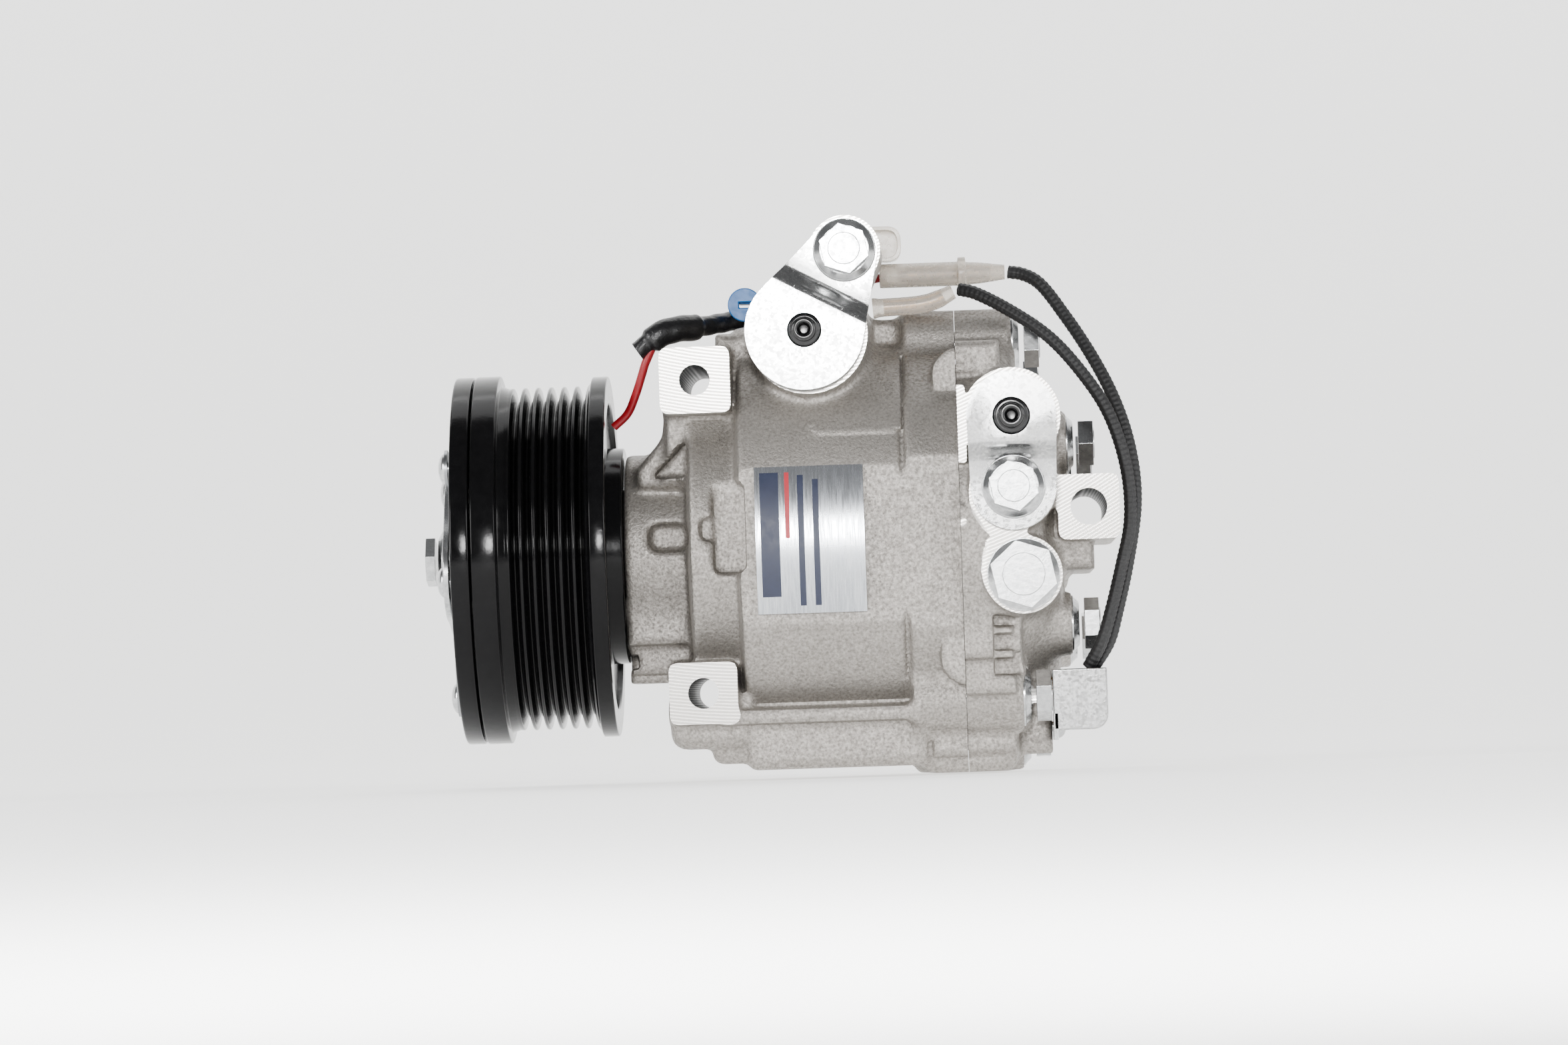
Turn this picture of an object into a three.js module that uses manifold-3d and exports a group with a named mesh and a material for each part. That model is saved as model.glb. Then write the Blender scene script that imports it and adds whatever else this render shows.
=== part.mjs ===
// Automotive air-conditioning compressor: a belt-driven scroll compressor with an electromagnetic clutch.
// Millimetres. +X runs along the shaft from the clutch to the rear head, +Z is up and the bolt heads of the
// mounting ears face -Y. The origin is on the shaft axis in the mid-plane of the belt grooves.
import * as THREE from "three";
import { mergeVertices } from "three/addons/utils/BufferGeometryUtils.js";
import Module from "manifold-3d";

const wasm = await Module();
wasm.setup();

// ---------------------------------------------------------------- driving dimensions

const GAP = 0.3; // clearance between pieces that sit in or turn in each other
const SEAT = 0.1; // clearance between faces that are bolted together
const ROUND = 24; // sides of a large turned piece
const BARREL = 30; // sides of a housing
const MIDDLING = 20; // sides of a bearing ring, a coil or the pulley
const SMALL = 12; // sides of a small turned piece
const FINE = 8; // sides of a bolt hole

const BELT = { ribs: 6, pitch: 3.56, crest: 46.9, root: 43.1, crestFlat: 0.66, rootFlat: 1.1 };
const PULLEY = {
  front: -20.3, rear: 15.7, rim: 50.3, rimEnd: -13.6, flange: 49.3, flangeStart: 11, bore: 26.4, hub: 30.2,
  tunnel: 41.9, web: 5.8,
};
const ARMATURE = { front: -25.9, rear: -20.8, rim: 50.2, bore: 26.5 };
const CLUTCH_HUB = { plateFront: -29.9, plateRear: -28.1, lobe: 21, ripple: 3.2, sleeve: 12, sleeveRear: -14 };
const SPRING = { pivot: 19, end: 38, sweep: 62, width: 9, thickness: 0.8, count: 3, first: 78 };
const COIL = { front: -12.4, rear: 14.4, outer: 40.8, inner: 31.4, wall: 2.4, bossRear: 19.4, boss: 29.5, bore: 18 };
const BEARING = { half: 9.6, bore: 17.7, outer: 26, ball: 3, pitch: 21.8, balls: 10 };

const NOSE = { front: -13, tube: 17.3, shoulder: 19.8, neck: 27.5, neckEnd: 36.4 };
const DRUM = { start: 38.4, end: 50.4, radius: 45 };
const SHELL = { start: 51.9, end: 96.4, radius: 57, top: 59.8, bottom: 59.5 };
const JOINT_X = 110.7; // plane between the front housing and the rear head
const FLANGE = { radius: 57.6, boss: 9.5, circle: 56, hole: 4.3, threadFront: 98, rear: 125.4 };
const HEAD = { neck: 47, dome: 43, rear: 136.5 };
const PERIMETER_BOLTS = [16, 138.5, 200, 262, 323]; // degrees from +Z towards -Y
const SCROLL_BOLTS = { circle: 34.5, first: 41.5, count: 4, face: 139.1, boss: 8.5, hole: 3.4 };

const EAR = { front: -46, rear: 36, corner: 2.4 };
const UPPER_EAR = { x: 40.9, z: 45.4, width: 19, height: 17.8, hole: 4.1 };
const LOWER_EAR = { x: 40.6, z: -38.4, width: 18.4, height: 16.6, hole: 4.1 };
const REAR_EAR = { x: 145.1, z: 8.1, width: 16.5, height: 17.4, hole: 4.9 };

const SUCTION = {
  x: 70.9, z: 57.3, boss: 15.6, bore: 7.4, face: -49.5, back: -10, disc: 15.9, hole: 4.6,
  boltX: 82.2, boltZ: 78.4, lug: 9.6, lugBack: -14, arm: 8.8, bend: 11.4,
};
const DISCHARGE = {
  x: 125.1, z: 32.3, boss: 12.6, bore: 5.6, face: -57.7, back: -25, disc: 11.9, hole: 5,
  boltX: 125.1, boltZ: 13.6, lug: 11.6, lugBack: -14, arm: 11.4, bend: 9.4,
};
const INLET = { radius: 3.4, z0: 36, z1: 56 };
const OUTLET = { radius: 3, z0: 8, z1: 30 };
const COVER_SHEET = 2.4;
const COVER_STEP = 3; // height of a port cover's round end over its bolted end, where the plug's collar lies
const COVER_BOLT = { flats: 12, flange: 8.4, shank: 3, length: 20 };
const RELIEF = { x: 127, z: -9.7, boss: 10.4, face: -57.8, flats: 16, flange: 9.7, shank: 5.1, depth: 13 };

const SHAFT = { front: -31, threadRear: -14, journal: 8, main: 12.4, collar: 17, pin: 5, orbit: 4.1 };
const MAIN_BEARING = { front: 46.4, rear: 59.6, bore: 12.8, outer: 27.6, ball: 3.4, pitch: 20.2, balls: 9 };
const CHAMBER = { thrust: 76.4, radius: 50, well: 31.5, wellFront: 62 };
const COUNTERWEIGHT = { front: 65, rear: 68.2, radius: 28, hub: 12.5 };
const BUSH = { radius: 8.8, rear: 76.6 };
const SCROLL = { pitch: 15.6, wall: 3.4, start: 0.6, end: 2.6, stepsPerTurn: 24 };
const ORBITING = { hubFront: 69.2, hub: 16, hubBore: 12.6, front: 78, rear: 84.6, tip: 108.5, radius: 45 };
const FIXED = { tip: 84.9, front: 108.9, rear: 116.5, radius: 49.4, rimFront: 90.9, rimBore: 47.4 };
const PINS = { count: 3, first: 60, circle: 37.6, radius: 2, front: 71.8, rear: 81 };
const DISCHARGE_CHAMBER = { radius: 30, rear: 127 };
const VALVE = { port: 5.5, thickness: 0.4, hinge: -10.6, foot: -21.4, lift: 3.2 };

const SWITCH = { x0: 135.5, x1: 147.6, y0: -36, y1: -20, z0: -46.5, z1: -35.8 };
const SWITCH_STEM = { y: -23, z: -41, radius: 4, front: 128 };
const SWITCH_COVER = {
  x0: 133.9, x1: 148.6, y0: -37.7, z0: -51.4, z1: -35, sheet: 1.2, tabZ: -54, screwY: -23, screwZ: -50.4,
};
const COVER_SCREW = { hole: 1.8, shank: 1.4, length: 6, head: 3.2, height: 2.5 };
const LEAD = { radius: 1.8, sides: 8 };

// ---------------------------------------------------------------- materials

const finish = (color, roughness, metalness) => new THREE.MeshStandardMaterial({ color, roughness, metalness });
const castAluminium = finish(0x9b9792, 0.5, 0.8);
const machinedAluminium = finish(0xc9c9c6, 0.3, 0.9);
const blackPaint = finish(0x121315, 0.35, 0.2);
const zincPlate = finish(0xc6c7ca, 0.25, 1);
const bearingSteel = finish(0xb4b6b8, 0.2, 1);
const springSteel = finish(0x8f9193, 0.35, 1);
const copperWinding = finish(0x9a5426, 0.45, 0.8);
const blackRubber = finish(0x141414, 0.7, 0);
const braidedSleeve = finish(0x17181a, 0.85, 0);
const redInsulation = finish(0xab2334, 0.45, 0);
const clearVinyl = finish(0xd9d6cf, 0.3, 0);
const bluePlastic = finish(0x1f78ad, 0.4, 0);
const foilLabel = finish(0xb9bcc0, 0.3, 0.8);

// ---------------------------------------------------------------- solids

// Signed volume of an indexed mesh: negative when its faces point inwards.
function signedVolume(positions, index) {
  const corner = [new THREE.Vector3(), new THREE.Vector3(), new THREE.Vector3()];
  let sum = 0;
  for (let i = 0; i < index.length; i += 3) {
    corner.forEach((c, k) => c.fromArray(positions, 3 * index[i + k]));
    sum += corner[0].dot(corner[1].cross(corner[2])) / 6;
  }
  return sum;
}

// A closed geometry as a solid that can be joined and cut, with its faces pointing out.
function solid(geometry) {
  const loose = geometry.index ? geometry.toNonIndexed() : geometry;
  const bare = new THREE.BufferGeometry().setAttribute("position", loose.getAttribute("position"));
  const merged = mergeVertices(bare, 1e-4);
  const positions = merged.attributes.position.array;
  const faces = [];
  for (let i = 0; i < merged.index.count; i += 3) {
    const [a, b, c] = [0, 1, 2].map((k) => merged.index.getX(i + k));
    if (a !== b && b !== c && a !== c) faces.push(a, b, c);
  }
  if (signedVolume(positions, faces) < 0) faces.reverse();
  const triVerts = new Uint32Array(faces);
  return new wasm.Manifold(new wasm.Mesh({ numProp: 3, vertProperties: positions, triVerts }));
}

const join = (...solids) => solids.reduce((whole, next) => whole.add(next));
const cut = (body, ...tools) => tools.reduce((left, tool) => left.subtract(tool), body);

// A piece turned about the X axis, or about a line parallel to it through (y, z). The profile is [x, radius]
// pairs and is closed onto itself unless it starts and ends on the axis.
function turned(profile, sides = ROUND, y = 0, z = 0) {
  const points = profile.map(([x, r]) => new THREE.Vector2(r, x));
  const open = profile[0][1] === 0 && profile.at(-1)[1] === 0;
  if (!open) points.push(points[0].clone());
  const geometry = new THREE.LatheGeometry(points, sides);
  return solid(geometry.rotateZ(-Math.PI / 2).translate(0, y, z));
}

const disc = (x0, x1, r, sides, y, z) => turned([[x0, 0], [x0, r], [x1, r], [x1, 0]], sides, y, z);
const ring = (x0, x1, r0, r1, sides, y, z) => turned([[x0, r0], [x0, r1], [x1, r1], [x1, r0]], sides, y, z);

// A round bar along Y.
const bar = (x, z, r, y0, y1, sides = SMALL) =>
  solid(new THREE.CylinderGeometry(r, r, y1 - y0, sides).translate(x, (y0 + y1) / 2, z));

const block = (x0, x1, y0, y1, z0, z1) =>
  solid(new THREE.BoxGeometry(x1 - x0, y1 - y0, z1 - z0).translate((x0 + x1) / 2, (y0 + y1) / 2, (z0 + z1) / 2));

// A flat outline in X and Z with its thickness from y0 to y1.
function facingY(shape, y0, y1, curveSegments = 8) {
  const geometry = new THREE.ExtrudeGeometry(shape, { depth: y1 - y0, bevelEnabled: false, curveSegments });
  return solid(geometry.rotateX(Math.PI / 2).translate(0, y1, 0));
}

// A flat outline in Y and Z with its thickness from x0 to x1.
function facingX(shape, x0, x1, curveSegments = 8) {
  const geometry = new THREE.ExtrudeGeometry(shape, { depth: x1 - x0, bevelEnabled: false, curveSegments });
  const turn = new THREE.Matrix4().makeBasis(
    new THREE.Vector3(0, 1, 0), new THREE.Vector3(0, 0, 1), new THREE.Vector3(1, 0, 0));
  return solid(geometry.applyMatrix4(turn).translate(x0, 0, 0));
}

function roundedRectangle({ x, z, width, height }, corner) {
  const [w, h] = [width / 2 - corner, height / 2 - corner];
  const quarter = Math.PI / 2;
  return new THREE.Shape()
    .absarc(x + w, z - h, corner, -quarter, 0)
    .absarc(x + w, z + h, corner, 0, quarter)
    .absarc(x - w, z + h, corner, quarter, 2 * quarter)
    .absarc(x - w, z - h, corner, 2 * quarter, 3 * quarter);
}

// The outline of two discs joined by their outer tangents, as a lug or a link has.
function linkShape(x0, z0, r0, x1, z1, r1) {
  const length = Math.hypot(x1 - x0, z1 - z0);
  const heading = Math.atan2(z1 - z0, x1 - x0);
  const lean = Math.acos((r0 - r1) / length);
  return new THREE.Shape()
    .absarc(x0, z0, r0, heading + lean, heading - lean + 2 * Math.PI, false)
    .absarc(x1, z1, r1, heading - lean, heading + lean, false);
}

const roundHole = (x, z, r) => new THREE.Path().absarc(x, z, r, 0, 2 * Math.PI, true);

// A tube along a smooth curve through the points.
function tube(points, radius, sides, steps) {
  const curve = new THREE.CatmullRomCurve3(points.map((p) => new THREE.Vector3(...p)), false, "centripetal");
  const section = new THREE.Shape(Array.from({ length: sides }, (_, i) => {
    const a = (2 * Math.PI * i) / sides;
    return new THREE.Vector2(radius * Math.cos(a), radius * Math.sin(a));
  }));
  return solid(new THREE.ExtrudeGeometry(section, { steps, bevelEnabled: false, extrudePath: curve }));
}

// (y, z) on a circle about the shaft axis, the angle counted from +Z towards -Y.
function onCircle(radius, degrees) {
  const a = THREE.MathUtils.degToRad(degrees);
  return [-radius * Math.sin(a), radius * Math.cos(a)];
}

const evenly = (count, first = 0) => Array.from({ length: count }, (_, i) => first + (360 / count) * i);

const perimeterBoltPlaces = PERIMETER_BOLTS.map((degrees) => onCircle(FLANGE.circle, degrees));
const scrollBoltPlaces = evenly(SCROLL_BOLTS.count, SCROLL_BOLTS.first)
  .map((degrees) => onCircle(SCROLL_BOLTS.circle, degrees));
const pinPlaces = evenly(PINS.count, PINS.first).map((degrees) => onCircle(PINS.circle, degrees));

// ---------------------------------------------------------------- assembly

const compressor = new THREE.Group();

function add(name, body, material) {
  const source = body.getMesh();
  const geometry = new THREE.BufferGeometry();
  geometry.setAttribute("position", new THREE.BufferAttribute(new Float32Array(source.vertProperties), 3));
  geometry.setIndex(new THREE.BufferAttribute(new Uint32Array(source.triVerts), 1));
  const mesh = new THREE.Mesh(geometry, material);
  mesh.name = name;
  compressor.add(mesh);
  return mesh;
}

// ---------------------------------------------------------------- housings

const earBlock = (ear) => facingY(roundedRectangle(ear, EAR.corner), EAR.front, EAR.rear, 2);
const earHole = (ear) => bar(ear.x, ear.z, ear.hole, EAR.front - 1, EAR.rear + 1);

// Everything that lies further than a distance from a port's centre, towards its cover's bolt.
function beyond(port, distance) {
  const heading = Math.atan2(port.boltZ - port.z, port.boltX - port.x);
  return solid(new THREE.BoxGeometry(80, 60, 80).translate(distance + 40, 0, 0).rotateY(-heading)
    .translate(port.x, port.face, port.z));
}

// A round port boss with the lug beside it that takes the cover's bolt.
function portBoss(port) {
  const { x, z, boss, face, back, boltX, boltZ, lug, lugBack } = port;
  const side = facingY(linkShape(x, z, boss * 0.7, boltX, boltZ, lug), face, lugBack, 5);
  return join(bar(x, z, boss, face, back, 20), side);
}

const portBore = (port) => bar(port.x, port.z, port.bore, port.face - 1, port.back - 2);
const portThread = (port) => bar(port.boltX, port.boltZ, SCROLL_BOLTS.hole, port.face - 1, port.face + 20, FINE);

// A passage that runs straight up or down from a port's bore into a chamber.
function riser(x, y, { radius, z0, z1 }) {
  const geometry = new THREE.CylinderGeometry(radius, radius, z1 - z0, FINE);
  return solid(geometry.rotateX(Math.PI / 2).translate(x, y, (z0 + z1) / 2));
}

function frontCasting() {
  const barrel = turned([
    [NOSE.front, 0], [NOSE.front, NOSE.tube], [NOSE.shoulder, NOSE.tube], [NOSE.shoulder, NOSE.neck],
    [NOSE.neckEnd - 6, NOSE.neck], [DRUM.start, DRUM.radius - 3], [DRUM.start + 3, DRUM.radius],
    [DRUM.end, DRUM.radius], [SHELL.start, SHELL.radius - 2], [SHELL.start + 2, SHELL.radius],
    [SHELL.end, SHELL.radius], [SHELL.end, FLANGE.radius], [JOINT_X, FLANGE.radius], [JOINT_X, 0],
  ], BARREL);
  const bosses = perimeterBoltPlaces.map(([y, z]) => disc(SHELL.end, JOINT_X, FLANGE.boss, SMALL, y, z));
  const upperWeb = block(33, DRUM.end, -30, 24, 24, UPPER_EAR.z - 6);
  const nosePad = block(24, DRUM.end, -19, 12, -35.4, -20);
  const foot = block(SHELL.start, SHELL.end + 4, EAR.front + 3, 22, -SHELL.bottom, -46.6);
  const toe = block(LOWER_EAR.x + 1, SHELL.start + 2, EAR.front + 6, 20, -57.2, -40);
  const crown = block(SHELL.start, SHELL.end + 4, -24, 24, 44, SHELL.top);
  return join(barrel, ...bosses, earBlock(UPPER_EAR), earBlock(LOWER_EAR), upperWeb, nosePad, foot, toe, crown,
    portBoss(SUCTION));
}

function frontHousing() {
  const [bearingFront, bearingRear] = [MAIN_BEARING.front - GAP, MAIN_BEARING.rear + GAP];
  const bore = turned([
    [NOSE.front - 1, 0], [NOSE.front - 1, 13], [7, 13], [7, 11], [10, 11], [10, 15], [22.4, 15], [22.4, 14],
    [bearingFront, 14], [bearingFront, MAIN_BEARING.outer + GAP], [bearingRear, MAIN_BEARING.outer + GAP],
    [bearingRear, 25], [CHAMBER.wellFront, 25], [CHAMBER.wellFront, CHAMBER.well], [CHAMBER.thrust, CHAMBER.well],
    [CHAMBER.thrust, CHAMBER.radius], [JOINT_X + 1, CHAMBER.radius], [JOINT_X + 1, 0],
  ]);
  const boltHoles = perimeterBoltPlaces.map(([y, z]) =>
    disc(FLANGE.threadFront, JOINT_X + 1, FLANGE.hole, FINE, y, z));
  const pinHoles = pinPlaces.map(([y, z]) =>
    disc(PINS.front - GAP, CHAMBER.thrust + 1, PINS.radius + GAP, FINE, y, z));
  const inlet = riser(CHAMBER.thrust + INLET.radius + 0.2, SUCTION.back - 5, INLET);
  return cut(frontCasting(), bore, ...boltHoles, ...pinHoles, earHole(UPPER_EAR), earHole(LOWER_EAR),
    portBore(SUCTION), portThread(SUCTION), inlet);
}

function rearCasting() {
  const front = JOINT_X + SEAT;
  const head = turned([
    [front, 0], [front, FLANGE.radius], [FLANGE.rear - 2, FLANGE.radius], [FLANGE.rear, FLANGE.radius - 2],
    [FLANGE.rear, HEAD.neck], [HEAD.rear - 4, HEAD.dome], [HEAD.rear, HEAD.dome - 4], [HEAD.rear, 0],
  ], BARREL);
  const bosses = perimeterBoltPlaces.map(([y, z]) => disc(front, FLANGE.rear, FLANGE.boss, SMALL, y, z));
  const scrollBosses = scrollBoltPlaces.map(([y, z]) =>
    disc(HEAD.rear - 8, SCROLL_BOLTS.face, SCROLL_BOLTS.boss, SMALL, y, z));
  const pad = block(front, DISCHARGE.x - DISCHARGE.disc - GAP, DISCHARGE.face, -20, 20.5, 41.2);
  const reliefBoss = bar(RELIEF.x, RELIEF.z, RELIEF.boss, RELIEF.face, -20, 20);
  const earWeb = block(HEAD.rear - 8, REAR_EAR.x, -38, EAR.rear - 4, -11, 14);
  const switchBoss = block(121, SWITCH_COVER.x0 - SEAT, -28.4, -10, -57, -36);
  return join(head, ...bosses, ...scrollBosses, portBoss(DISCHARGE), pad, reliefBoss, earBlock(REAR_EAR), earWeb,
    switchBoss);
}

function rearHead() {
  const front = JOINT_X + SEAT;
  const recess = turned([
    [front - 1, 0], [front - 1, FIXED.radius + 2.1], [front + 2.6, FIXED.radius + 2.1],
    [front + 2.6, FIXED.radius + GAP], [FIXED.rear + 0.2, FIXED.radius + GAP],
    [FIXED.rear + 0.2, DISCHARGE_CHAMBER.radius], [DISCHARGE_CHAMBER.rear, DISCHARGE_CHAMBER.radius],
    [DISCHARGE_CHAMBER.rear, 0],
  ]);
  const perimeterHoles = perimeterBoltPlaces.map(([y, z]) =>
    disc(front - 1, FLANGE.rear + 1, FLANGE.hole, FINE, y, z));
  const scrollHoles = scrollBoltPlaces.map(([y, z]) =>
    disc(front, SCROLL_BOLTS.face + 1, SCROLL_BOLTS.hole, FINE, y, z));
  const outlet = riser(DISCHARGE_CHAMBER.rear - 6, DISCHARGE.back - 5.2, OUTLET);
  const spotFaces = scrollBoltPlaces.map(([y, z]) =>
    disc(SCROLL_BOLTS.face, REAR_EAR.x + 10, SCROLL_BOLTS.boss - 0.5, SMALL, y, z));
  const reliefBore = bar(RELIEF.x, RELIEF.z, RELIEF.shank + GAP, RELIEF.face - 1, RELIEF.face + RELIEF.depth + 1);
  const { front: stemFront, radius: stem, y: stemY, z: stemZ } = SWITCH_STEM;
  const switchBore = disc(stemFront - 2, SWITCH.x0, stem + GAP, SMALL, stemY, stemZ);
  const screwHole = disc(stemFront - 2, SWITCH.x0, COVER_SCREW.hole, FINE, SWITCH_COVER.screwY, SWITCH_COVER.screwZ);
  return cut(rearCasting(), recess, ...perimeterHoles, ...scrollHoles, ...spotFaces, portBore(DISCHARGE), outlet,
    portThread(DISCHARGE), reliefBore, earHole(REAR_EAR), switchBore, screwHole);
}

const oRing = () => ring(JOINT_X + 0.4, JOINT_X + 2.4, FIXED.radius + 0.6, FIXED.radius + 1.9);

// ---------------------------------------------------------------- fasteners

// A flange bolt about its own +Z axis: the flange stands on z = 0, the hexagon above it and the shank below.
function flangeBolt({ flats, flange, shank, length }) {
  const corner = flats / Math.sqrt(3);
  const upright = (top, bottom, z0, z1, sides) => {
    const geometry = new THREE.CylinderGeometry(top, bottom, z1 - z0, sides);
    return solid(geometry.rotateX(Math.PI / 2).translate(0, 0, (z0 + z1) / 2));
  };
  return join(
    upright(flange * 0.8, flange, 0, 2.4, SMALL),
    upright(corner * 0.95, corner, 2, 8, 6),
    upright(shank, shank, -length, 1, FINE),
  );
}

// A pan-head screw about its own +Z axis.
function panHeadScrew() {
  const { shank, length, head, height } = COVER_SCREW;
  const profile = [
    [0, -length], [shank, -length], [shank, 0], [head, 0], [head - 0.2, height / 2], [head - 1.4, height - 0.2],
    [0, height],
  ];
  const geometry = new THREE.LatheGeometry(profile.map(([r, z]) => new THREE.Vector2(r, z)), SMALL);
  return solid(geometry.rotateX(Math.PI / 2));
}

function addAlongX(name, body, x, [y, z], twist = 0) {
  const mesh = add(name, body, zincPlate);
  mesh.rotation.set(0, Math.PI / 2, 0);
  mesh.rotateZ(twist);
  mesh.position.set(x, y, z);
}

function addTowardsMinusY(name, body, x, y, z, twist = 0) {
  const mesh = add(name, body, zincPlate);
  mesh.rotation.set(Math.PI / 2, 0, 0);
  mesh.rotateZ(twist);
  mesh.position.set(x, y, z);
}

// ---------------------------------------------------------------- clutch

function pulley() {
  const first = (-BELT.pitch * (BELT.ribs - 1)) / 2;
  const grooves = Array.from({ length: BELT.ribs }, (_, i) => first + BELT.pitch * i).flatMap((x, i) => {
    const crest = x + BELT.pitch / 2;
    const root = [[x - BELT.rootFlat / 2, BELT.root], [x + BELT.rootFlat / 2, BELT.root]];
    const top = [[crest - BELT.crestFlat / 2, BELT.crest], [crest + BELT.crestFlat / 2, BELT.crest]];
    return i < BELT.ribs - 1 ? [...root, ...top] : root;
  });
  const { front, rear, rim, rimEnd, flange, flangeStart, bore, hub, tunnel, web } = PULLEY;
  const lip = bore - 2;
  return turned([
    [front, rim - 0.8], [front + 0.8, rim], [rimEnd, rim], ...grooves, [flangeStart, flange], [rear - 1.3, flange],
    [rear, flange - 1.4], [rear, tunnel], [front + web, tunnel], [front + web, hub], [BEARING.half + 0.6, hub],
    [BEARING.half + 0.6, bore], [-BEARING.half - 0.6, bore], [-BEARING.half - 0.6, lip], [front + 2.4, lip],
    [front + 2.4, bore + 3], [front, bore + 3],
  ], MIDDLING);
}

const springAngles = evenly(SPRING.count, SPRING.first).map(THREE.MathUtils.degToRad);
const springRoot = (a) => [SPRING.pivot * Math.cos(a), SPRING.pivot * Math.sin(a)];
const springEnd = (a) => {
  const end = a + THREE.MathUtils.degToRad(SPRING.sweep);
  return [SPRING.end * Math.cos(end), SPRING.end * Math.sin(end)];
};

// The armature has three long slots that keep its magnetic flux crossing the gap.
function armaturePlate() {
  const { front, rear, rim, bore } = ARMATURE;
  const plate = turned([[front, bore], [front, rim - 0.8], [front + 0.8, rim], [rear, rim], [rear, bore]], ROUND);
  const slots = springAngles.map((a) => {
    const [from, to] = [a - 0.75, a + 0.75];
    const shape = new THREE.Shape().absarc(0, 0, 42.6, from, to, false).absarc(0, 0, 40.4, to, from, true);
    return facingX(shape, front - 1, rear + 1, 5);
  });
  return cut(plate, ...slots);
}

function clutchHub() {
  const { plateFront, plateRear, lobe, ripple, sleeve, sleeveRear } = CLUTCH_HUB;
  const outline = evenly(30).map((degrees) => {
    const a = THREE.MathUtils.degToRad(degrees);
    const r = lobe + ripple * Math.cos(SPRING.count * (a - springAngles[0]));
    return new THREE.Vector2(r * Math.cos(a), r * Math.sin(a));
  });
  const front = plateFront - 0.6;
  return cut(join(facingX(new THREE.Shape(outline), plateFront, plateRear), disc(front, sleeveRear, sleeve, 20)),
    disc(plateRear, sleeveRear + 1, SHAFT.journal + GAP, 20),
    disc(front - 1, plateRear + 1, 3.2, FINE));
}

// A leaf spring lies between the hub plate and the armature, with a hole at each end for its rivet.
function leafSpring(a) {
  const [root, end] = [springRoot(a), springEnd(a)];
  const shape = linkShape(...root, SPRING.width / 2, ...end, SPRING.width / 2 + 0.6);
  shape.holes.push(roundHole(...root, 2.2), roundHole(...end, 2.5));
  const x0 = CLUTCH_HUB.plateRear + GAP;
  return facingX(shape, x0, x0 + SPRING.thickness, 5);
}

// A ball bearing's balls with the cage that joins them in one ring.
function ballsInCage(centre, { pitch, ball, balls }) {
  const cage = ring(centre - 0.9, centre + 0.9, pitch - 0.7, pitch + 0.7, 2 * balls);
  const each = evenly(balls).map((degrees) => {
    const [y, z] = onCircle(pitch, degrees);
    return solid(new THREE.SphereGeometry(ball, 6, 4).translate(centre, y, z));
  });
  return join(cage, ...each);
}

const RACE_DEPTH = 2; // height of a bearing ring's shoulder over or under the pitch circle

// A bearing's outer ring, whose ball groove is inside it.
function outerRace(x0, x1, { outer, pitch, ball }) {
  const middle = (x0 + x1) / 2;
  const shoulder = pitch + RACE_DEPTH;
  const half = ball + 2 * GAP;
  const groove = [[middle + half, shoulder], [middle, pitch + ball + 2 * GAP + 0.2], [middle - half, shoulder]];
  return turned([[x0, shoulder], [x0, outer], [x1, outer], [x1, shoulder], ...groove], MIDDLING);
}

// A bearing's inner ring, whose ball groove is outside it.
function innerRace(x0, x1, { bore, pitch, ball }) {
  const middle = (x0 + x1) / 2;
  const shoulder = pitch - RACE_DEPTH;
  const half = ball + 0.1;
  const groove = [[middle - half, shoulder], [middle, pitch - ball - GAP - 0.1], [middle + half, shoulder]];
  return turned([[x0, bore], [x0, shoulder], ...groove, [x1, shoulder], [x1, bore]], MIDDLING);
}

function snapRing() {
  const whole = ring(BEARING.half + 0.4, BEARING.half + 1.8, NOSE.tube + 0.4, NOSE.tube + 2.6, 20);
  return whole.subtract(block(BEARING.half, BEARING.half + 3, -3, 3, -22, -10));
}

// The field coil's steel cup opens towards the armature and is bolted to the nose by its boss.
function coilShell() {
  const { front, rear, outer, inner, wall, bossRear, boss, bore } = COIL;
  const plate = rear - 2.4;
  return turned([
    [front, inner], [front, inner + wall], [plate, inner + wall], [plate, outer - wall], [front, outer - wall],
    [front, outer], [rear, outer], [rear, boss], [bossRear, boss], [bossRear, bore], [plate, bore], [plate, inner],
  ], MIDDLING);
}

const coilWinding = () => ring(COIL.front + 1, COIL.rear - 2.8, COIL.inner + COIL.wall + 0.4,
  COIL.outer - COIL.wall - 0.4, MIDDLING);

// The bolt that holds the hub on the shaft, its head towards -X.
function hubBolt() {
  const seat = CLUTCH_HUB.plateFront - 0.6 - SEAT;
  return join(
    disc(seat - 2.2, seat, 8.4, 20),
    solid(new THREE.CylinderGeometry(6.9, 6.2, 3.6, 6).rotateZ(Math.PI / 2).translate(seat - 3.4, 0, 0)),
    disc(seat - 1, SHAFT.front + 12, 2.3, FINE),
  );
}

// ---------------------------------------------------------------- shaft and scrolls

function shaft() {
  const { front, threadRear, journal, main, collar, pin, orbit } = SHAFT;
  const step = CLUTCH_HUB.plateRear + 0.4;
  const collarRear = COUNTERWEIGHT.front - 0.4;
  const body = turned([
    [step, 0], [step, journal], [34, journal], [38, main - 1], [44, main - 1], [44, main],
    [MAIN_BEARING.rear + 1, main], [MAIN_BEARING.rear + 1, collar], [collarRear, collar], [collarRear, 0],
  ], 20);
  const thread = disc(front, threadRear, 2.7, FINE);
  return cut(join(body, disc(COUNTERWEIGHT.front - 1, BUSH.rear - 1.6, pin, 16, 0, orbit)), thread);
}

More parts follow.
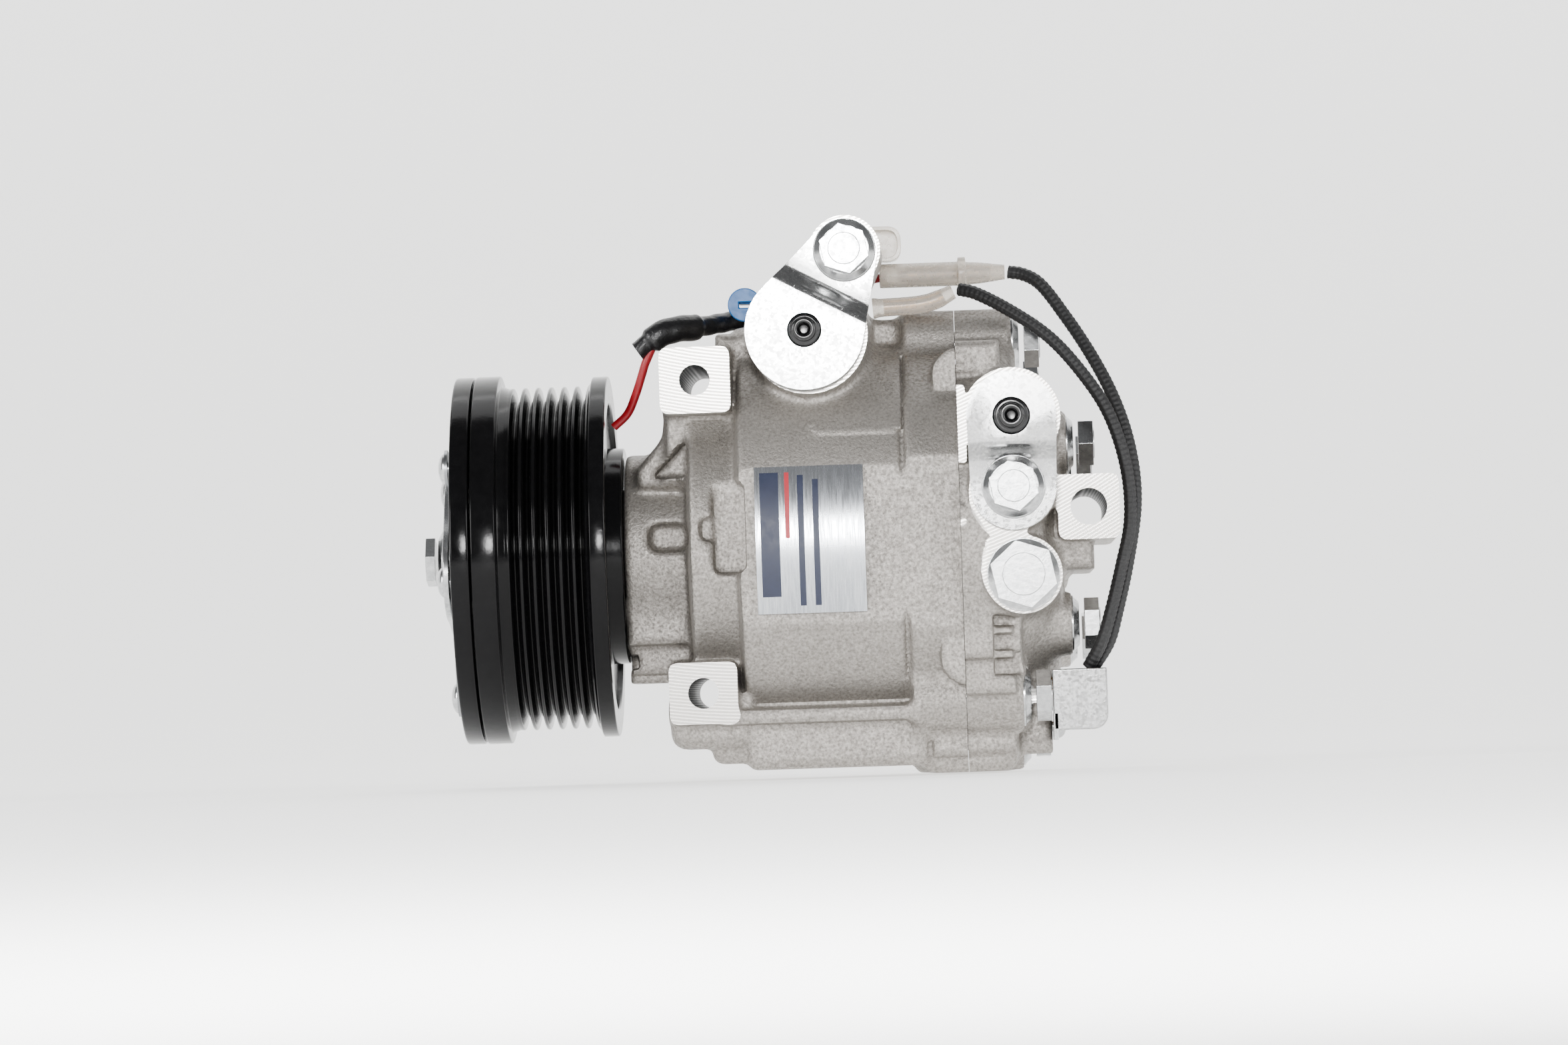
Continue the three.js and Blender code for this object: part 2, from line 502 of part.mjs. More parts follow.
// The drive bush turns on the crank pin and carries the counterweight opposite to it.
function driveBush() {
  const { front, rear, radius, hub } = COUNTERWEIGHT;
  const sector = new THREE.Shape()
    .absarc(0, 0, radius, 1.18 * Math.PI, 1.82 * Math.PI, false)
    .absarc(0, 0, hub - 3, 1.82 * Math.PI, 1.18 * Math.PI, true);
  const bush = disc(rear - 0.5, BUSH.rear, BUSH.radius, 20, 0, SHAFT.orbit);
  return cut(join(disc(front, rear, hub, 20), facingX(sector, front, rear, 6), bush),
    disc(front - 1, BUSH.rear + 1, SHAFT.pin + GAP, 16, 0, SHAFT.orbit));
}

// A point of the involute of the scroll's base circle. The shift moves it square to the curve by base * shift.
function involute(base, roll, phase, shift, centreZ) {
  const angle = roll + phase;
  const reach = roll + shift;
  return new THREE.Vector2(
    base * (Math.cos(angle) + reach * Math.sin(angle)),
    base * (Math.sin(angle) - reach * Math.cos(angle)) + centreZ,
  );
}

// One spiral wall: the strip between two involutes, turned by phase about (0, centreZ).
function spiralWall(x0, x1, phase, centreZ) {
  const { pitch, wall, start, end, stepsPerTurn } = SCROLL;
  const base = pitch / (2 * Math.PI);
  const half = wall / 2 / base;
  const steps = Math.round((end - start) * stepsPerTurn);
  const rolls = Array.from({ length: steps + 1 }, (_, i) => 2 * Math.PI * (start + ((end - start) * i) / steps));
  const side = (shift) => rolls.map((roll) => involute(base, roll, phase, shift, centreZ));
  return facingX(new THREE.Shape([...side(half), ...side(-half).reverse()]), x0, x1);
}

function orbitingScroll() {
  const { hubFront, hub, hubBore, front, rear, tip, radius } = ORBITING;
  const z = SHAFT.orbit;
  const sweep = PINS.radius + SHAFT.orbit + 0.5;
  const holes = pinPlaces.map(([y, pinZ]) => disc(front - 1, PINS.rear + 0.6, sweep, 16, y, pinZ + z));
  return cut(join(disc(front, rear, radius, ROUND, 0, z), ring(hubFront, front + 1, hubBore, hub, 20, 0, z),
    spiralWall(rear - 1, tip, 0, z)), ...holes);
}

function fixedScroll() {
  const { tip, front, rear, radius, rimFront, rimBore } = FIXED;
  const threads = scrollBoltPlaces.map(([y, z]) => disc(front + 1.6, rear + 1, SCROLL_BOLTS.hole, FINE, y, z));
  return cut(join(disc(front, rear, radius, ROUND), spiralWall(tip, front + 1, Math.PI, 0),
    ring(rimFront, front + 1, rimBore, radius)), disc(front - 1, rear + 1, VALVE.port, 16), ...threads);
}

// The reed lies over the discharge port and bends where its clamped end leaves the retainer's foot.
function reedValve() {
  const x0 = FIXED.rear + 0.15;
  const half = 3.4;
  return facingX(linkShape(0, 0, VALVE.port + 1.6, 0, VALVE.hinge + half, half), x0, x0 + VALVE.thickness, 7);
}

// The retainer stops the reed's lift: its foot is fixed to the scroll and its tongue stands off the port.
function valveRetainer() {
  const x0 = FIXED.rear + SEAT;
  const x1 = FIXED.rear + VALVE.thickness + VALVE.lift;
  const sheet = 1.6;
  const top = VALVE.hinge - 0.4;
  return join(
    block(x0, x0 + sheet, -3.6, 3.6, VALVE.foot, top),
    block(x0, x1 + sheet, -3.6, 3.6, top - sheet, top),
    facingX(linkShape(0, 0, VALVE.port + 0.6, 0, top + 2, 3.6), x1, x1 + sheet, 7),
  );
}

// ---------------------------------------------------------------- port covers and plugs

// A pressed cover: its bolted end lies on the casting and a step leads up to the round end, over the plug.
function portCover(port) {
  const { x, z, disc: radius, face, hole, boltX, boltZ, arm, bend } = port;
  const outline = linkShape(x, z, radius, boltX, boltZ, arm);
  const layer = (y0, y1) => facingY(outline, y0 - SEAT - COVER_SHEET, y1 - SEAT, 9);
  const high = face - COVER_STEP;
  const [stepStart, stepEnd] = [beyond(port, bend - COVER_SHEET), beyond(port, bend)];
  return cut(join(layer(high, high).subtract(stepEnd), layer(face, face).intersect(stepStart),
    layer(high, face).intersect(stepStart).subtract(stepEnd)),
  bar(x, z, hole, face - 10, face + 10), bar(boltX, boltZ, SCROLL_BOLTS.hole, face - 10, face + 10, FINE));
}

const coverBoltSeat = (port) => port.face - COVER_SHEET - 2 * SEAT;

// A rubber plug: a foot in the port, a collar between the boss and the cover, and a stem out through the cover.
function rubberPlug({ x, z, face, bore, bend }, stem, length) {
  const collar = bend - COVER_SHEET - GAP;
  return join(
    bar(x, z, bore - 0.5, face - 1, face + 11),
    bar(x, z, collar, face - COVER_STEP, face - SEAT),
    bar(x, z, stem, face - COVER_STEP - length, face - 1),
  );
}

function reliefValve() {
  const { x, z, face, flats, flange, shank, depth } = RELIEF;
  const corner = flats / Math.sqrt(3);
  const hexagon = new THREE.CylinderGeometry(corner, corner, 4, 6).rotateY(0.2).translate(x, face - 3.9, z);
  const washer = bar(x, z, flange, face - 2.3, face - SEAT, 24);
  return join(washer, solid(hexagon), bar(x, z, shank, face - 1, face + depth));
}

// ---------------------------------------------------------------- label, thermal switch

// The label is a thin sheet on the shell.
function label() {
  const inner = SHELL.radius + 0.1;
  return ring(56.2, 85.2, inner, inner + 0.2, 72).intersect(block(50, 90, -70, -30, -18, 21.2));
}

const thermalSwitch = () => join(
  block(SWITCH.x0, SWITCH.x1, SWITCH.y0, SWITCH.y1, SWITCH.z0, SWITCH.z1),
  disc(SWITCH_STEM.front, SWITCH.x0 + 1, SWITCH_STEM.radius, SMALL, SWITCH_STEM.y, SWITCH_STEM.z),
);

// The bent sheet that guards the switch: a tab under the screw, and a wall across the front of the switch.
function switchCover() {
  const { x0, x1, y0, z0, z1, sheet, tabZ, screwY, screwZ } = SWITCH_COVER;
  const corner = 4;
  const wall = new THREE.Shape()
    .moveTo(x0, z1)
    .lineTo(x0, z0)
    .absarc(x1 - corner, z0 + corner, corner, -Math.PI / 2, 0)
    .lineTo(x1, z1);
  const tab = block(x0, x0 + sheet, y0, -18, tabZ, SWITCH.z0 - 0.4);
  const screwHole = disc(x0 - 1, x0 + 2, COVER_SCREW.hole, FINE, screwY, screwZ);
  return cut(join(facingY(wall, y0, y0 + sheet, 4), tab), screwHole);
}

// ---------------------------------------------------------------- wiring

const COIL_LEAD = [[17.3, -12, 34.9], [21.1, -13, 38.3], [23.6, -15, 43.3], [25.7, -17, 49], [27, -18, 52.4]];
const SLEEVE_ROUTE = [
  [24.6, -18, 55], [31.7, -18, 59.7], [42, -13, 61.5], [50, -5, 63], [60, 0, 65], [74, 2, 69], [87, -7, 72.6],
];
const UPPER_LEAD = [
  [126, -10, 73.6], [129.6, -10.6, 72.9], [134, -13, 70.3], [141.1, -17, 60.5], [148, -22, 48.8], [153, -26, 38],
  [156.3, -29, 27.3], [157.9, -31, 16.6], [157.8, -32, 7.1], [155.2, -32, -7.5], [152.3, -32, -19.1],
  [149.6, -32, -28], [145.4, -29.4, -34.6],
];
const LOWER_LEAD = [
  [112.6, -22, 68.6], [116.6, -24, 67.4], [126.4, -28, 61.8], [136.5, -32, 54.1], [144.7, -34.6, 44.3],
  [150.7, -36.4, 34.6], [154.4, -37, 24.1], [156.2, -37, 13.3], [156, -37, 3], [153.4, -37, -8],
  [150.4, -36.8, -19.1], [147.4, -36, -28.2], [143.8, -33.2, -34.6],
];
const leadTube = (route) => tube(route, LEAD.radius, LEAD.sides, 28);

function leadSleeve() {
  return join(tube(SLEEVE_ROUTE, 2.8, 10, 16), tube(SLEEVE_ROUTE.slice(1, 3), 3.6, 10, 2));
}

// The harness clip is a slotted disc that stands on a saddle over the sleeve.
const harnessClip = () => cut(
  join(bar(53.9, 67.1, 4.1, -11, -8.4, 16), block(52, 56, -9, -2, 67.4, 69.4)),
  block(52.4, 55.8, -12, -9.8, 66.3, 67.8),
);

// A bullet connector's vinyl boot.
const connectorUpper = () => turned([
  [90.9, 0], [90.9, 3.3], [112.2, 3.3], [112.2, 4.5], [114.4, 4.5], [114.4, 3.3], [117, 2.4], [125, 1.9], [125, 0],
], SMALL, -10, 73.6);
const connectorLower = () => tube([[88.9, -22, 64.2], [104.1, -22, 65.3], [110.8, -22, 68]], 2.45, 10, 8);
const harnessBoot = () => facingY(roundedRectangle({ x: 91.2, z: 82.2, width: 11.6, height: 9.6 }, 4), -13, -6, 4);

// ---------------------------------------------------------------- the compressor, piece by piece

function addHousings() {
  add("front_housing", frontHousing(), castAluminium);
  add("rear_housing", rearHead(), castAluminium);
  add("housing_o_ring", oRing(), blackRubber);
  const perimeterBolt = { flats: 12, flange: 8.3, shank: 3.8, length: 26 };
  const scrollBolt = { flats: 12, flange: 7.6, shank: 3, length: 27 };
  perimeterBoltPlaces.forEach((place, i) =>
    addAlongX(`housing_bolt_${i + 1}`, flangeBolt(perimeterBolt), FLANGE.rear + SEAT, place, 0.5 + i));
  scrollBoltPlaces.forEach((place, i) =>
    addAlongX(`scroll_bolt_${i + 1}`, flangeBolt(scrollBolt), SCROLL_BOLTS.face + SEAT, place, 0.3 + i));
}

function addPorts() {
  add("suction_cover", portCover(SUCTION), zincPlate);
  add("discharge_cover", portCover(DISCHARGE), zincPlate);
  const bolt = () => flangeBolt(COVER_BOLT);
  addTowardsMinusY("suction_cover_bolt", bolt(), SUCTION.boltX, coverBoltSeat(SUCTION), SUCTION.boltZ, 0.1);
  addTowardsMinusY("discharge_cover_bolt", bolt(), DISCHARGE.boltX, coverBoltSeat(DISCHARGE), DISCHARGE.boltZ, 0.1);
  add("suction_plug", rubberPlug(SUCTION, 3, 7), blackRubber);
  add("discharge_plug", rubberPlug(DISCHARGE, 3.2, 7), blackRubber);
  add("relief_valve", reliefValve(), zincPlate);
  add("rating_label", label(), foilLabel);
}

function addWiring() {
  add("thermal_switch", thermalSwitch(), blackRubber);
  add("switch_cover", switchCover(), zincPlate);
  addAlongX("cover_screw", panHeadScrew(), SWITCH_COVER.x0 + SWITCH_COVER.sheet + SEAT,
    [SWITCH_COVER.screwY, SWITCH_COVER.screwZ]);
  add("coil_lead", tube(COIL_LEAD, 1.15, LEAD.sides, 12), redInsulation);
  add("lead_sleeve", leadSleeve(), blackRubber);
  add("harness_clip", harnessClip(), bluePlastic);
  add("connector_upper", connectorUpper(), clearVinyl);
  add("connector_lower", connectorLower(), clearVinyl);
  add("harness_boot", harnessBoot(), clearVinyl);
  add("switch_lead_upper", leadTube(UPPER_LEAD), braidedSleeve);
  add("switch_lead_lower", leadTube(LOWER_LEAD), braidedSleeve);
}

function addClutch() {
  const { half } = BEARING;
  add("pulley", pulley(), blackPaint);
  add("pulley_bearing_outer", outerRace(-half, half, BEARING), bearingSteel);
  add("pulley_bearing_inner", innerRace(-half, half, BEARING), bearingSteel);
  add("pulley_bearing_balls", ballsInCage(0, BEARING), bearingSteel);
  add("bearing_snap_ring", snapRing(), springSteel);
  add("coil_shell", coilShell(), blackPaint);
  add("coil_winding", coilWinding(), copperWinding);
  add("armature_plate", armaturePlate(), blackPaint);
  add("clutch_hub", clutchHub(), blackPaint);
  add("hub_bolt", hubBolt(), zincPlate);
  springAngles.forEach((a, i) => add(`leaf_spring_${i + 1}`, leafSpring(a), zincPlate));
}

function addMechanism() {
  const { front, rear } = MAIN_BEARING;
  add("shaft", shaft(), bearingSteel);
  add("front_bearing", ring(-8, 6.6, SHAFT.journal + GAP, 12.6, 20), bearingSteel);
  add("shaft_seal", ring(10.4, 21.6, SHAFT.journal + GAP, 14.6, 20), blackRubber);
  add("main_bearing_outer", outerRace(front, rear, MAIN_BEARING), bearingSteel);
  add("main_bearing_inner", innerRace(front, rear, MAIN_BEARING), bearingSteel);
  add("main_bearing_balls", ballsInCage((front + rear) / 2, MAIN_BEARING), bearingSteel);
  add("drive_bush", driveBush(), castAluminium);
  add("drive_bearing", ring(ORBITING.hubFront, BUSH.rear, BUSH.radius + GAP, ORBITING.hubBore - 0.4, 20, 0,
    SHAFT.orbit), bearingSteel);
  const pinHoles = pinPlaces.map(([y, z]) => disc(70, 80, PINS.radius + GAP, FINE, y, z));
  add("thrust_plate", cut(ring(CHAMBER.thrust + SEAT, ORBITING.front - 0.4, CHAMBER.well + 0.6, FIXED.radius),
    ...pinHoles), springSteel);
  pinPlaces.forEach(([y, z], i) =>
    add(`anti_rotation_pin_${i + 1}`, disc(PINS.front, PINS.rear, PINS.radius, FINE, y, z), bearingSteel));
  add("orbiting_scroll", orbitingScroll(), machinedAluminium);
  add("fixed_scroll", fixedScroll(), machinedAluminium);
  add("reed_valve", reedValve(), springSteel);
  add("valve_retainer", valveRetainer(), springSteel);
}

addHousings();
addPorts();
addWiring();
addClutch();
addMechanism();

export default compressor;
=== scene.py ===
"""Automotive air-conditioning compressor: a belt-driven scroll compressor with an electromagnetic clutch.

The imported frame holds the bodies, the joints and the inner pieces. The shaft runs along +X, the belt's
mid-plane is X = 0, +Z is up and the mounting ears' bolt faces look towards -Y. Sizes in this file are
millimetres and are turned to metres when a mesh is made. Each sub-assembly is a class that builds and
dresses its own pieces.
"""

import logging
import math
from collections.abc import Callable, Iterable, Sequence
from dataclasses import dataclass, field
from enum import Enum
from functools import cache

import bmesh
import bpy
import numpy as np
import openvdb
from mathutils import Matrix, Vector


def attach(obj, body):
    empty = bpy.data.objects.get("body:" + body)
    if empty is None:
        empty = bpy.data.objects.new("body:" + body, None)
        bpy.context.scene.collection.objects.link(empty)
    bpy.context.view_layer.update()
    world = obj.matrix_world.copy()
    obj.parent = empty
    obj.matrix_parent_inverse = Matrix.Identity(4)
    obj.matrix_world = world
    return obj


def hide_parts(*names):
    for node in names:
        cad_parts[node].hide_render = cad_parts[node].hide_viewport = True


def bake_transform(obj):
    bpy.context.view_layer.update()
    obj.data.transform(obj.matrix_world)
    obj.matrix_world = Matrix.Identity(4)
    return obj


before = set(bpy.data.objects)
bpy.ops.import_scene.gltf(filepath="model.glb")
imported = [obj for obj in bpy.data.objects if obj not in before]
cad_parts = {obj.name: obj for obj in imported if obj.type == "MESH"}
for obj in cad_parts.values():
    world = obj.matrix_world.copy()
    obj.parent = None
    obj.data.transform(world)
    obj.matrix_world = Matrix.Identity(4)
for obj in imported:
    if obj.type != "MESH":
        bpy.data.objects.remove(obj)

MM = 0.001
LOG = logging.getLogger("compressor")
Pair = tuple[float, float]
Triple = tuple[float, float, float]


# ---------------------------------------------------------------------- nodes and finishes


def linear(code: str) -> tuple[float, float, float, float]:
    """Turns an sRGB hex colour such as #A0B0C0 into linear RGBA."""
    parts = [int(code[i : i + 2], 16) / 255 for i in (1, 3, 5)]
    return (*[p / 12.92 if p <= 0.04045 else ((p + 0.055) / 1.055) ** 2.4 for p in parts], 1.0)


def add_node(
    tree: bpy.types.NodeTree, kind: str, settings: dict | None = None, inputs: dict | None = None
) -> bpy.types.Node:
    """Adds one node to a tree.

    Args:
        tree: The node tree.
        kind: The node's type name.
        settings: The node's own properties by name.
        inputs: Values, sockets to link or lists of sockets, by the input's name or number.

    Returns:
        The new node.
    """
    made = tree.nodes.new(kind)
    for key, value in (settings or {}).items():
        setattr(made, key, value)
    for key, given in (inputs or {}).items():
        for value in given if isinstance(given, list) else [given]:
            if isinstance(value, bpy.types.NodeSocket):
                tree.links.new(value, made.inputs[key])
            else:
                made.inputs[key].default_value = value
    return made


# A wave texture's rings lie pi / 10 apart at scale 1.
RING = math.pi / 10
# The face mill's arcs lie about a point below and behind the compressor, in metres.
MILL_CENTRE = (-0.06, 0.0, -0.16)
# Brushing draws grains out across the shaft.
BRUSH_STRETCH = (1.0, 0.06, 0.06)
STAINS_PER_METRE = 45.0
COAT_ROUGHNESS = 0.12


class Pattern(Enum):
    """How a surface was made, which sets the pattern that its colour, gloss and relief follow."""

    BLASTED = "grit-blasted casting"
    TURNED = "rings left by a lathe, about the shaft axis"
    MILLED = "long arcs left by a face mill"
    BRUSHED = "fine lines square to the shaft"
    PEEL = "soft waves of sprayed or moulded skin"
    SPANGLE = "fine crystals of zinc plate"
    WOUND = "turns of enamelled wire about the shaft axis"


@dataclass(frozen=True)
class Finish:
    """One material: its colours, its gloss and the relief of its surface.

    The colour and the first roughness belong to the pattern's high places, the shade and the second
    roughness to its low ones. The pattern's size and the relief's depth are millimetres. Grit, crystals and
    tool marks are drawn two or three times coarser than real, so that they show when the whole compressor
    is seen. Stain is how much of the shade lies over the surface in broad soft patches.
    """

    name: str
    colour: str
    shade: str
    roughness: Pair
    pattern: Pattern
    size: float
    relief: float
    metallic: float = 0.0
    coat: float = 0.0
    transmission: float = 0.0
    glow: float = 0.0
    ior: float = 1.5
    stain: float = 0.15

    def _pattern(self, tree: bpy.types.NodeTree, place: bpy.types.NodeSocket) -> bpy.types.NodeSocket:
        """Adds the nodes of the surface's pattern.

        Args:
            tree: The material's nodes.
            place: The place on the piece, in Object coordinates.

        Returns:
            The pattern's value, from 0 to 1.
        """
        per_metre = 1000 / self.size
        if self.pattern in (Pattern.TURNED, Pattern.WOUND, Pattern.MILLED):
            milled = self.pattern is Pattern.MILLED
            centre, direction = (MILL_CENTRE, "Y") if milled else ((0.0, 0.0, 0.0), "X")
            moved = add_node(tree, "ShaderNodeMapping", inputs={"Vector": place, "Location": centre})
            wave = add_node(
                tree,
                "ShaderNodeTexWave",
                {"wave_type": "RINGS", "rings_direction": direction},
                {"Vector": moved.outputs[0], "Scale": RING * per_metre, "Distortion": 0.6, "Detail": 2.0},
            )
            return wave.outputs["Fac"]
        if self.pattern is Pattern.BRUSHED:
            stretched = add_node(tree, "ShaderNodeMapping", inputs={"Vector": place, "Scale": BRUSH_STRETCH})
            place = stretched.outputs[0]
        if self.pattern is Pattern.SPANGLE:
            cells = add_node(
                tree, "ShaderNodeTexVoronoi", inputs={"Vector": place, "Scale": per_metre, "Randomness": 1.0}
            )
            grey = add_node(tree, "ShaderNodeSeparateColor", inputs={"Color": cells.outputs["Color"]})
            return grey.outputs[0]
        noise = add_node(
            tree,
            "ShaderNodeTexNoise",
            inputs={"Vector": place, "Scale": per_metre, "Detail": 3.0, "Roughness": 0.6},
        )
        sharper = add_node(
            tree,
            "ShaderNodeMapRange",
            inputs={"Value": noise.outputs[0], "From Min": 0.3, "From Max": 0.7},
        )
        return sharper.outputs[0]

    def fill(self, material: bpy.types.Material) -> None:
        """Builds the finish's nodes in a material.

        Args:
            material: The material to fill.
        """
        material.use_nodes = True
        tree = material.node_tree
        tree.nodes.clear()
        place = add_node(tree, "ShaderNodeTexCoord").outputs["Object"]
        value = self._pattern(tree, place)
        patches = add_node(
            tree,
            "ShaderNodeTexNoise",
            inputs={"Vector": place, "Scale": STAINS_PER_METRE, "Detail": 4.0, "Roughness": 0.55},
        )
        tone = add_node(
            tree,
            "ShaderNodeMapRange",
            inputs={"Value": patches.outputs[0], "From Min": 0.35, "From Max": 0.7, "To Max": self.stain},
        )
        grain = add_node(
            tree,
            "ShaderNodeMix",
            {"data_type": "RGBA"},
            {0: value, 6: linear(self.shade), 7: linear(self.colour)},
        )
        colour = add_node(
            tree,
            "ShaderNodeMix",
            {"data_type": "RGBA"},
            {0: tone.outputs[0], 6: grain.outputs[2], 7: linear(self.shade)},
        )
        gloss = add_node(
            tree,
            "ShaderNodeMapRange",
            inputs={"Value": value, "To Min": self.roughness[1], "To Max": self.roughness[0]},
        )
        bump = add_node(
            tree,
            "ShaderNodeBump",
            inputs={"Height": value, "Strength": 1.0, "Distance": self.relief * MM},
        )
        shader = add_node(
            tree,
            "ShaderNodeBsdfPrincipled",
            inputs={
                "Base Color": colour.outputs[2],
                "Roughness": gloss.outputs[0],
                "Normal": bump.outputs[0],
                "Metallic": self.metallic,
                "IOR": self.ior,
                "Coat Weight": self.coat,
                "Coat Roughness": COAT_ROUGHNESS,
                "Transmission Weight": self.transmission,
                "Emission Color": linear(self.colour),
                "Emission Strength": self.glow,
            },
        )
        add_node(tree, "ShaderNodeOutputMaterial", inputs={"Surface": shader.outputs[0]})


@cache
def material_of(finish: Finish) -> bpy.types.Material:
    """Makes a finish's material, once.

    Args:
        finish: The finish.

    Returns:
        Its material.
    """
    material = bpy.data.materials.new(finish.name)
    finish.fill(material)
    return material


# Die-cast aluminium, blasted with fine grit: a matt warm grey that sparkles where grains face the light.
CAST = Finish(
    "blasted_cast_aluminium", "#ADA8A2", "#7A7671", (0.4, 0.6), Pattern.BLASTED, 0.8, 0.08, metallic=0.75
)
# Face-milled aluminium: bright, with the mill's faint arcs.
MILLED = Finish(
    "milled_aluminium", "#C4C1BD", "#A5A19C", (0.2, 0.32), Pattern.MILLED, 0.9, 0.006, metallic=0.95
)
# Bored or turned aluminium: bright rings about the shaft.
BORED = Finish(
    "turned_aluminium", "#D8D7D5", "#BDBBB8", (0.22, 0.34), Pattern.TURNED, 0.7, 0.004, metallic=1.0
)
# The wall of a deep drilled hole: aluminium painted dark for the shade that falls inside the hole, and only
# half metallic.
SHADED_HOLE_WALL = Finish(
    "hole_wall_painted_shade", "#4A4846", "#353433", (0.4, 0.55), Pattern.MILLED, 0.6, 0.02, metallic=0.6
)
# Bright zinc plate on pressed steel: a sharp gloss, its fine crystals drawn about three times too coarse.
ZINC = Finish(
    "bright_zinc_plate", "#C6C6C5", "#A4A4A4", (0.12, 0.26), Pattern.SPANGLE, 0.7, 0.01, metallic=1.0
)
# Zinc-plated bolts, a little duller than the pressed covers.
BOLT = Finish("zinc_plated_bolt", "#CCCDCD", "#ABACAD", (0.18, 0.28), Pattern.PEEL, 1.6, 0.01, metallic=1.0)
# Moulded rubber: black, with a soft shine from the mould's polished wall.
RUBBER = Finish("black_rubber", "#0B0B0C", "#131314", (0.16, 0.26), Pattern.PEEL, 2.2, 0.01, stain=0.3)
# Black paint over steel: glossy, with the slight waves of sprayed paint.
PAINT = Finish(
    "black_clutch_paint", "#070708", "#0B0B0C", (0.12, 0.17), Pattern.PEEL, 2.6, 0.01, ior=1.24, stain=0.1
)
# Ground bearing steel: close to a mirror, with fine rings.
STEEL = Finish(
    "ground_bearing_steel", "#C9CBCD", "#B2B4B6", (0.16, 0.26), Pattern.TURNED, 0.5, 0.003, metallic=1.0
)
# Rolled spring steel: a darker, silkier grey.
SPRING = Finish("spring_steel", "#A9ABAD", "#8F9193", (0.26, 0.36), Pattern.BRUSHED, 0.4, 0.004, metallic=1.0)
# Enamelled copper wire in close turns: warm brown ridges.
COPPER = Finish(
    "enamelled_copper_wire", "#9A4A22", "#6E3216", (0.3, 0.42), Pattern.WOUND, 0.9, 0.2, metallic=0.8
)
# Hard-anodised aluminium: a dry, even grey.
SCROLL = Finish(
    "anodised_scroll_aluminium", "#A7A5A0", "#908E8A", (0.4, 0.5), Pattern.PEEL, 1.2, 0.01, metallic=0.8
)
# Aluminium foil, brushed along its height: it catches the light in a broad upright streak.
FOIL = Finish("brushed_foil", "#D5D8DC", "#A9ADB3", (0.16, 0.34), Pattern.BRUSHED, 0.5, 0.004, metallic=0.95)
# Screen-printed inks on the foil: flat colours with hardly any shine.
INK = Finish("dark_blue_ink", "#1B2136", "#20263C", (0.4, 0.5), Pattern.PEEL, 2.0, 0.0, stain=0.0)
RED_INK = Finish("red_ink", "#A82430", "#9C222D", (0.4, 0.5), Pattern.PEEL, 2.0, 0.0, stain=0.0)
# Extruded PVC over wire: a smooth deep red.
RED = Finish("red_wire_insulation", "#98101C", "#880E1A", (0.3, 0.38), Pattern.PEEL, 1.5, 0.01, stain=0.1)
# Heat-shrunk polyolefin: black, drawn tight in small waves.
SHRINK = Finish("black_shrink_sleeve", "#0C0C0D", "#131315", (0.28, 0.4), Pattern.PEEL, 1.4, 0.09, stain=0.3)
# Moulded nylon: a clear blue with a satin shine.
BLUE = Finish("blue_nylon", "#0B62A8", "#0A5896", (0.35, 0.45), Pattern.PEEL, 1.5, 0.01, stain=0.1)
# Soft PVC, milky with age: light passes through it and blurs what is inside.
VINYL = Finish(
    "milky_vinyl", "#EBE4DA", "#E0D8CC", (0.22, 0.32), Pattern.PEEL, 2.5, 0.0, transmission=0.6, ior=1.4,
    stain=0.05,
)
# Tinned brass terminals: a pale gold under the vinyl.
BRASS = Finish("tinned_brass", "#C99C5C", "#AE8146", (0.2, 0.32), Pattern.PEEL, 1.0, 0.01, metallic=1.0)
# Braided polyester over the leads: black and matt, its threads lit one by one.
BRAID = Finish(
    "black_braided_sleeve", "#0E0E0F", "#08080A", (0.5, 0.68), Pattern.BLASTED, 0.5, 0.03, stain=0.3
)
# Glass-filled plastic of the thermal switch: black with a dull shine.
PLASTIC = Finish(
    "black_switch_plastic", "#141415", "#1C1C1D", (0.35, 0.5), Pattern.PEEL, 1.2, 0.02, stain=0.2
)
# White background paper, matt, lit through from behind so that it stays brighter than the casting.
PAPER = Finish(
    "background_paper", "#F7F7F6", "#F3F3F2", (0.85, 0.95), Pattern.PEEL, 3.0, 0.0, glow=1.25, stain=0.02
)


# ---------------------------------------------------------------------- outlines


def arc(x: float, z: float, radius: float, start: float, end: float, steps: int) -> list[Pair]:
    """Returns the points of an arc from one angle to another, in degrees, both ends included."""
    angles = np.radians(np.linspace(start, end, steps + 1))
    return [(x + radius * math.cos(a), z + radius * math.sin(a)) for a in angles]


def circle(x: float, z: float, radius: float, sides: int) -> list[Pair]:
    """Returns a circle's points, the first one not repeated."""
    return arc(x, z, radius, 0, 360, sides)[:-1]


def rectangle(x0: float, x1: float, z0: float, z1: float, corner: float = 0.0, steps: int = 6) -> list[Pair]:
    """Returns a rectangle's outline, its corners rounded if a corner radius is given."""
    corners = [(x0, z0), (x1, z0), (x1, z1), (x0, z1)]
    return rounded(corners, corner, steps) if corner else corners


def link(x0: float, z0: float, r0: float, x1: float, z1: float, r1: float, steps: int = 32) -> list[Pair]:
    """Joins two discs by their outer tangents.

    Args:
        x0, z0, r0: The first disc's centre and radius.
        x1, z1, r1: The second disc's.
        steps: Straight steps in each round end.

    Returns:
        The outline.
    """
    heading = math.degrees(math.atan2(z1 - z0, x1 - x0))
    lean = math.degrees(math.acos((r0 - r1) / math.hypot(x1 - x0, z1 - z0)))
    first = arc(x0, z0, r0, heading + lean, heading - lean + 360, steps)
    return first + arc(x1, z1, r1, heading - lean, heading + lean, steps)


